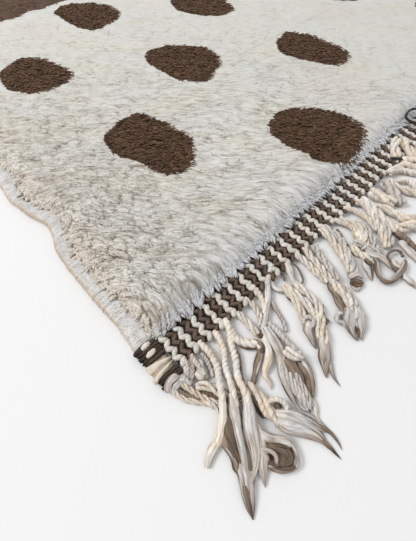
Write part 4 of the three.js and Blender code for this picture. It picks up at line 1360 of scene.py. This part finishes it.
    "lock_k_2": ("cable", "tan", 6, (339, 218, 7), (347, 221.5, 6), (354, 224, 6), (360, 228.5, 6),
        (364, 235, 5.6), (366, 243, 5), (364, 250, 5)),
    "lock_k_3": ("cable", "white", 6, (354, 222, 6), (361, 225, 6), (367, 230, 5.6), (371, 237, 5.4),
        (374, 244, 5), (375, 252, 4.6)),
    "lock_k_fill": ("blunt", "tan", 11, (357, 230, 3.8), (360, 238, 3.8), (364, 247, 3.8)),
    "lock_k_4": ("cable", "tan", 7, (351, 246, 5), (358, 252.5, 5), (364, 256, 5), (369, 259.5, 5),
        (374, 262, 4)),
    "lock_k_5": ("cable", "white", 6.5, (353, 243, 4.5), (360, 244.5, 5), (367, 247, 5), (374, 250.5, 5),
        (381, 252.5, 5)),
    "lock_k_knot": ("blunt", "shadowed", 6.5, (365, 259, 5.5), (369, 262, 6), (372, 265, 5)),
    "lock_k_tip": ("tuft", "white", 6.5, (364, 258, 4), (366.5, 267, 3.2), (369, 274, 2.4), (372, 281, 1.4)),
    "lock_k_edge": ("tuft", "umber", 2.6, (370, 263, 4), (371.5, 271, 2.6), (372.2, 280, 1.6)),
    "curl": ("long_cord", "umber", 3.4, (368, 254, 6), (372, 257, 6), (375, 263, 5.5), (376.5, 271, 5),
        (380, 278, 4.6), (387, 282.5, 4.4), (394.5, 280, 4.4), (400.5, 274, 4.6), (404.8, 267, 5),
        (405.3, 260, 5)),
    "curl_light": ("long_cord", "grey", 2.4, (370, 253.5, 6.8), (374, 257, 6.6), (377, 263, 6.2),
        (378.5, 270.5, 5.8), (382, 276.5, 5.4), (387.5, 280, 5.2), (393, 278, 5.2), (398.5, 272.5, 5.4),
        (402.4, 266, 5.6), (403.4, 261, 5.6)),
    "curl_cap": ("tuft", "white", 7, (366, 251, 7), (373, 254.5, 7.5), (380, 256.5, 7), (386, 262, 6),
        (392, 269, 4.6)),
    "curl_ring": ("cord", "umber", 2.6, (389, 262, 5), (388, 255, 5.5), (393, 250.5, 6), (400, 251.5, 5.5),
        (403, 257, 5)),
    "curl_inner": ("cord", "umber", 2.8, (389, 259, 4), (392, 266, 4), (397, 272, 4), (403, 277, 3.6)),
    "curl_fuzz": ("blunt", "white", 6, (391, 260, 3.6), (397, 265, 3.6), (403, 268, 3.6)),
    "curl_tail": ("blunt", "white", 6, (400, 272, 3.6), (406, 277.5, 3), (412, 283, 2), (418, 287.5, 1.6)),
    "lock_m_1": ("cable", "tan", 6.5, (356, 201.5, 7), (363, 204, 6), (368.5, 209.5, 5.4), (373, 217, 5),
        (377, 224, 5), (380.5, 231, 5), (384, 239, 5), (387, 248, 5)),
    "lock_m_2": ("cable", "white", 7, (373, 215, 5), (379, 222, 5), (385, 229, 5), (389, 237, 5),
        (391, 246, 4.6)),
    "lock_m_3": ("cable", "tan", 7.5, (360, 199, 7), (367, 204, 6), (374, 211, 6), (382, 219, 6),
        (390, 226, 6), (397, 231.5, 5.4)),
    "lock_m_4": ("cable", "tan", 5, (343, 208.5, 7), (351, 209.5, 6), (359, 213.5, 5.4), (366, 218, 5.2),
        (372, 224.5, 5), (377, 231, 5)),
    "lock_n_1": ("cable", "tan", 10, (369, 191, 6), (378, 196, 5), (386, 200, 5), (395, 205, 5)),
    "lock_n_2": ("cable", "white", 9, (381, 183, 6), (389, 189, 5), (395, 196, 5), (402, 205, 4.6)),
    "lock_n_3": ("cable", "tan", 7.5, (377, 207, 5.4), (387, 210, 5.4), (396, 214.5, 5.4), (404, 219, 5.4),
        (412, 219, 5), (420, 217, 5)),
    "lock_n_thick": ("cable", "tan", 10, (396, 229, 6), (404, 227, 6), (412, 226, 6), (422, 225, 6)),
    "lock_n_knot": ("blunt", "umber", 8, (396, 231, 6), (400, 235, 6), (404, 239, 5)),
    "lock_o_1": ("cord", "umber", 6, (400, 234, 4.5), (406, 240, 4), (412, 246, 3.6), (420, 253, 3)),
    "lock_o_2": ("blunt", "white", 7.5, (400, 241, 3.6), (407, 249, 3.2), (414, 256, 2.6), (421, 263, 2)),
    "lock_p_1": ("cable", "tan", 6, (389, 173, 7), (397, 168, 6), (405, 165, 5.4), (413, 167, 5),
        (422, 169, 5)),
    "lock_p_2": ("cord", "tan", 5, (391, 172, 5.4), (400, 170.5, 5), (409, 172, 5), (420, 174, 5)),
    "lock_q_1": ("cable", "tan", 6.5, (389, 180, 7), (396, 187, 5.4), (403, 189.5, 5), (410, 192, 5),
        (420, 195, 5)),
    "lock_q_2": ("cord", "tan", 4.5, (397, 181, 5), (406, 180.5, 5), (412, 184, 4.6), (419, 192, 4.4)),
    "lock_r_1": ("cable", "tan", 7, (397, 139, 12), (395, 146, 11), (395, 152, 10), (399, 158, 8)),
    "lock_r_2": ("cable", "tan", 7, (401, 141, 11), (407, 148, 10), (412, 155, 8), (421, 160, 7)),
    "lock_r_shade": ("blunt", "black", 2.6, (390, 158, 8), (398, 158.5, 9), (407, 160, 8)),
    "lock_s_1": ("cord", "tan", 6, (401, 160, 7), (411, 160.5, 6), (422, 160, 5.4)),
    "dark_yarn": ("cord", "black", 1.8, (420, 124, 14), (412, 122, 16), (406, 117.5, 18), (408, 112, 20),
        (413, 109, 21), (421, 109, 20)),
    "heading_1": ("cord", "white", 5.5, (190, 354, 6), (195, 361, 5), (200, 368, 5), (206, 375, 5)),
    "heading_2": ("cord", "grey", 4.5, (201, 353, 5), (206, 359, 4.4), (210, 367, 4.2), (213.5, 377, 4)),
    "heading_3": ("cord", "white", 4, (184, 357, 6), (187, 364, 5.5), (188, 372, 5), (186, 381, 4)),
    "heading_6": ("cord", "grey", 3.5, (189, 356, 5.5), (192.5, 364, 5), (193.5, 372, 4.6), (192, 380, 4)),
    "heading_4": ("blunt", "white", 9, (196, 372, 4.4), (200, 375, 4.8), (204, 379, 4.4)),
    "heading_5": ("cord", "white", 6, (181, 375, 6), (186, 380, 5.4), (192, 384, 5)),
    "heading_7": ("blunt", "white", 11, (185, 361, 3), (188.5, 370, 3), (190, 380, 2.8)),
    "heading_8": ("blunt", "white", 10, (197, 360, 2.8), (201, 369, 2.8), (206, 380, 2.6)),
    "corner_end_1": ("blunt", "grey", 7.5, (179, 375, 6), (174, 378, 8), (169.5, 382.5, 8), (168, 388, 6.5),
        (169.5, 392.5, 3)),
    "corner_end_2": ("blunt", "grey", 6.5, (182, 380, 5.6), (178, 383.5, 7.2), (174.5, 388, 6),
        (173.5, 392, 2.8)),
}


def rings_round(path, side, up, reach, rise):
    """Rings of points round a path, `reach` sideways and `rise` up from it."""
    return path[:, None] + rise[..., None] * up[:, None] + reach[..., None] * side[:, None]


def two_ply(heap, path, width, turn, tone, sides=12):
    """A cord of two plies twisted round each other, looser at its end: a two-lobed section that turns."""
    side, up = frames(path)
    count = len(path)
    run = run_along(path)
    lumpy = 1 + 0.10 * np.sin(run / (1.9 * MM) + 9 * tone) * np.sin(run / (5.3 * MM) + 4 * tone)
    half = each(width, count) / 2 * lumpy
    half = half * np.clip(np.minimum(run, run[-1] - run) / (0.5 * np.max(half)) + 0.55, 0, 1)
    loose = smooth((run / run[-1] - 0.45) / 0.5)
    speed = 1 / (1 + 1.6 * loose)
    turned_by = np.concatenate([[0.0], np.cumsum(np.diff(run) * 0.5 * (speed[1:] + speed[:-1]))])
    ring = (np.arange(sides) * 2 * np.pi / sides)[None]
    angle = ring + (2 * np.pi * turned_by / turn + tone * 6)[:, None]
    lobe = np.abs(np.cos(ring)) ** 0.8
    away = half[:, None] * (0.84 + 0.18 * lobe)
    rings = rings_round(path, side, up, np.sin(angle) * away, np.cos(angle) * away)
    rings[..., 2] = np.maximum(rings[..., 2], FLOOR_GAP)
    # Painted shade: darker in the groove between the plies, on the underside and along both sides.
    below = 0.5 - 0.5 * np.cos(angle)
    depth = (0.36 + 0.14 * np.sin(run / (7 * MM) + 11 * tone))[:, None]
    heap.add(
        rings, end_caps(count, sides), tube_faces(count, sides),
        tone=0.35 + 0.65 * tone,
        tip=np.clip(1.0 - depth * (1 - lobe) - 0.30 * below - 0.36 * np.sin(angle) ** 6, 0, 1),
        around=(ring + 0 * angle) / 2,
        along=np.repeat(run, sides) + tone,
    )


def cable(heap, path, width, rng):
    """Three thin cords laid slowly round each other."""
    side, up = frames(path)
    run = run_along(path)
    start, slow = rng.uniform(0, 2 * np.pi), rng.uniform(3.4, 5.0) * width
    for k in range(3):
        angle = (start + k * 2 * np.pi / 3 + 2 * np.pi * run / slow)[:, None]
        apart = width * (0.27 + 0.05 * np.sin(run / (6 * MM) + 2 * k))[:, None]
        strand = path + apart * (0.75 * np.cos(angle) * up + np.sin(angle) * side)
        thin = width * rng.uniform(0.46, 0.58)
        turn = PLY_TURN * thin
        two_ply(heap, smooth_path(strand, turn / 5), thin, turn, rng.uniform(0, 1), 6)


def bundle(heap, path, width, rng, blunt=False, most=6):
    """A lock of loose wool with uneven lengthwise folds, and with stray ends beside it."""
    side, up = frames(path)
    count = len(path)
    folds = max(3, min(most, int(round(width / FOLD_WIDTH))))
    sides = 4 * folds
    t = np.linspace(0, 1, count)[:, None]
    ring = (np.arange(sides) * 2 * np.pi / sides)[None, :]
    if blunt:
        thin = np.clip((1.03 - t) / 0.12, 0, 1) ** 0.5 * (1 - 0.15 * t)
    else:
        thin = np.clip(1 - t**2.6, 0, 1) ** 0.9
    bulge = 1 + 0.10 * np.sin(2 * np.pi * (t * rng.uniform(1.2, 2.2) + rng.uniform(0, 1)))
    half = 0.5 * width * thin * (0.62 + 0.38 * smooth(t / 0.22)) * bulge + 0.1 * MM
    flat = 0.55 - (0.08 if blunt else 0.22) * t
    first, second, third = rng.uniform(0, 6, 3)
    drift = 1.2 * np.sin(2 * np.pi * t * rng.uniform(0.3, 0.7) + first)
    warped = ring + 0.42 * np.sin(2 * ring + second + 1.5 * t) + 0.25 * np.sin(3 * ring + third - 2 * t)
    weight = 0.62 + 0.38 * np.sin(ring + first + 2.2 * t)
    ridge = (np.abs(np.cos(folds * warped / 2 + drift)) ** 0.8 - 0.62) * weight
    swell = 1 + 0.30 * ridge * smooth(t / 0.1 + 0.3)
    rings = rings_round(path, side, up, np.sin(ring) * half * swell, np.cos(ring) * half * flat * swell)
    rings[..., 2] = np.maximum(rings[..., 2], 0.06 * MM)
    fade = 0.15 if blunt else 0.62
    # Darker towards the end; painted shade in the valleys between folds, on the underside and along both
    # sides; paler on the ridges.
    mark = 0.92 - fade * t**1.5 + 1.0 * ridge - 0.12 * (1 - np.cos(ring)) - 0.55 * np.sin(ring) ** 6
    tone = rng.uniform(0.45, 1)
    heap.add(
        rings, end_caps(count, sides), tube_faces(count, sides),
        tone=tone,
        tip=np.clip(mark, 0, 1),
        around=np.tile(np.arange(sides) / 5, count),
        along=np.repeat(run_along(path), sides) + tone,
    )
    strays = int(width / STRAY_SPACING)
    for k in range(strays):
        first = int(count * rng.uniform(0.15, 0.6))
        share = np.linspace(0, 1, count - first)[:, None]
        place = ((k + 0.5) / strays - 0.5) * 0.9 * half[first, 0] * 2
        line = path[first:] + side[first:] * (place * (1 - share**1.5) + share * rng.normal(0, 0.02) * width)
        swollen = np.sin(np.pi * np.clip(share[:, 0] * 0.8 + 0.2, 0, 1)) ** 0.7
        size = np.maximum(width * rng.uniform(0.14, 0.26) * swollen, 0.3 * MM)
        line[:, 2] = np.maximum(line[:, 2] + 0.14 * width * (1 - share[:, 0]), 0.35 * size + FLOOR_GAP)
        # Darker towards the end, and painted shade where the stray leaves the lock.
        shade = np.clip(0.95 - fade * share[:, 0] ** 1.5 - 0.3 * np.exp(-share[:, 0] / 0.1), 0, 1)
        turn, tone = rng.uniform(0, 1), rng.uniform(0.3, 1)
        tube(heap, line, size, size * 0.7, sides=5, turn=turn, tone=tone, tip=shade)


def lcg(seed):
    """The same simple row of random numbers that places the strands of the solids."""
    state = seed
    while True:
        state = (state * 1664525 + 1013904223) % 4294967296
        yield state / 4294967296


def strand_groups():
    """First strand, number, centre, drift and length of each group of strands, and their spacing."""
    random = lcg(37)
    spacing = (WIDTH - SELVEDGE_WIDTH) / STRANDS
    groups, first = [], 0
    while first < STRANDS:
        wanted = GROUP_MIN + math.floor(next(random) * (GROUP_EXTRA + 1))
        count = min(wanted, STRANDS - first)
        centre = (first + count / 2 - STRANDS / 2) * spacing
        drift = GROUP_DRIFT * (2 * next(random) - 1)
        length = STRAND_LENGTH + LENGTH_SPREAD * (2 * next(random) - 1)
        groups.append((first, count, centre, drift, length))
        first += count
    return groups, spacing


def lay_further_strands(heaps):
    """Strands out of the photograph's view, in the groups of the solids, with joined and frayed ends."""
    groups, spacing = strand_groups()
    rng = np.random.default_rng(90)
    middle = (LEFT + RIGHT) / 2
    for first, count, centre, drift, length in groups:
        for k in range(count):
            root = (first + k + 0.5 - STRANDS / 2) * spacing
            if root + middle - LEFT + SELVEDGE_WIDTH < HAND_LAID_REACH:
                continue
            run = length * rng.uniform(0.85, 1.1)
            t = np.linspace(0, 1, 8)
            pull = 1.6 * GROUP_PULL * np.sin(np.pi * t**1.2)
            stray = np.cumsum(rng.normal(0, 1.9, len(t))) * MM * t
            x = middle + centre + (root - centre) * (1 - pull) + drift * t * t + stray
            y = HEADING_FRONT + 6 * MM - run * t
            z = 3.2 * MM + 2.2 * MM * np.exp(-t * 9) + 2.5 * MM * (k % 2) * np.sin(np.pi * t)
            path = smooth_path(np.stack([x, y, z], axis=1), FURTHER_STEP)
            split = int(len(path) * rng.uniform(0.55, 0.8))
            wool = "white" if rng.uniform() < 0.25 else "tan"
            width = FURTHER_WIDTH * rng.uniform(0.85, 1.12)
            cord = smooth_path(path[: split + 1], 3.0 * MM)
            two_ply(heaps[wool], cord, width, FURTHER_TURN * width, rng.uniform(0, 1), 6)
            tail = path[max(0, split - 2) :]
            share = np.linspace(0, 1, len(tail))[:, None]
            tail = tail + share * np.array([rng.normal(0, 7), 0, 0]) * MM
            bundle(heaps["grey" if rng.uniform() < 0.6 else "white"], tail, width * 1.05, rng, most=3)


def build_fringe():
    """The listed strands of the seen corner and the strands further along, one piece for each wool."""
    wools = {
        "tan": cord_wool, "white": white_wool, "grey": grey_wool, "umber": umber_wool, "shadowed": shadowed_wool,
        "black": black_wool,
    }
    heaps = {wool: Heap() for wool in wools}
    rng = np.random.default_rng(91)
    eye = from_corner(*CAMERA_AT)
    for kind, wool, width, *places in SEEN_STRANDS.values():
        path = smooth_path([seen(*place) for place in places], SEEN_STEP)
        away = np.linalg.norm(path.mean(axis=0) - eye)
        width = width * away / FOCAL_PIXELS
        if kind == "cord":
            turn = max(PLY_TURN * width, 5 * MM)
            path = smooth_path(path, turn / STEPS_PER_TURN)
            two_ply(heaps[wool], path, width, turn, rng.uniform(0, 1), 12 if width > 4 * MM else 8)
        elif kind == "cable":
            cable(heaps[wool], path, width * CABLE_SWELL, rng)
        elif kind == "long_cord":
            two_ply(heaps[wool], path, width, LONG_TURN * width, 0.0)
        else:
            bundle(heaps[wool], path, width, rng, kind == "blunt")
    lay_further_strands(heaps)
    pieces = []
    for wool, heap in heaps.items():
        piece = heap.piece(f"fringe_{wool}", wools[wool], "cream_cord")
        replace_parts(piece, "fringe")
        pieces.append(piece)
    return pieces


# Camera, light and floor
FLOOR_HALF, FLOOR_DROP = 12.0, 0.2 * MM
ROOM_LIGHT = 0.70
KEY_FROM, KEY_SIZE, KEY_POWER = (-2.4, 2.9, 3.5), 2.2, 172.0


def build_camera():
    right, up, forward = camera_axes()
    data = bpy.data.cameras.new("camera")
    data.sensor_fit = "AUTO"
    data.sensor_width = SENSOR
    data.lens = FOCAL_PIXELS / PHOTO_SIZE[1] * SENSOR
    data.clip_start = 0.01
    camera = add_object("camera", data)
    turn = Matrix((right, up, -forward)).transposed().to_4x4()
    camera.matrix_world = Matrix.Translation(Vector(from_corner(*CAMERA_AT))) @ turn
    bpy.context.scene.camera = camera


def build_floor():
    mesh = bpy.data.meshes.new("floor")
    corners = [(x * FLOOR_HALF, y * FLOOR_HALF, 0) for x, y in ((-1, -1), (1, -1), (1, 1), (-1, 1))]
    mesh.from_pydata(corners, [], [(0, 1, 2, 3)])
    material, tree = new_material("floor_paint", 0.8, 0.0)
    broad = noise(tree, position(tree), 0.8, 1.0)
    shade = ramp(tree, broad, (0.3, (0.80, 0.80, 0.80)), (0.7, (0.815, 0.815, 0.815)))
    mesh.materials.append(finished(material, shade))
    floor = add_object("floor", mesh)
    floor.location.z = -FLOOR_DROP


def build_light():
    scene = bpy.context.scene
    scene.view_settings.view_transform = "Standard"
    scene.world = bpy.data.worlds.new("studio")
    scene.world.use_nodes = True
    tree = scene.world.node_tree
    fill(tree, tree.nodes["Background"], {"Color": WHITE, "Strength": ROOM_LIGHT})
    aim = Vector(from_corner(0.25, 0.2))
    data = bpy.data.lights.new("key", "AREA")
    data.shape = "DISK"
    data.size = KEY_SIZE
    data.energy = KEY_POWER
    lamp = add_object("key", data)
    lamp.location = aim + Vector(KEY_FROM)
    lamp.rotation_euler = (aim - lamp.location).to_track_quat("-Z", "Y").to_euler()


build_camera()
build_light()
build_floor()
pile = [*build_surface(body_material()), *build_locks()]
weave = build_weave(weave_material())
for obj in [*pile, weave]:
    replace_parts(obj, "pile_field")
wrap = wrap_material()
for side_name, side in (("left", -1), ("right", 1)):
    selvedge = build_selvedge(f"wound_selvedge_{side_name}", side, wrap)
    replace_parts(selvedge, f"selvedge_{side_name}")
    build_corner("front", side_name, FRONT, -1, side)
    build_corner("back", side_name, BACK, 1, side)
build_band("front_band", band_low[1], band_high[1], "end_band_front", FINE_BEAD, 80)
build_band("back_band", back_low[1], back_high[1], "end_band_back", PLAIN_BEAD, 81)
fringe = build_fringe()
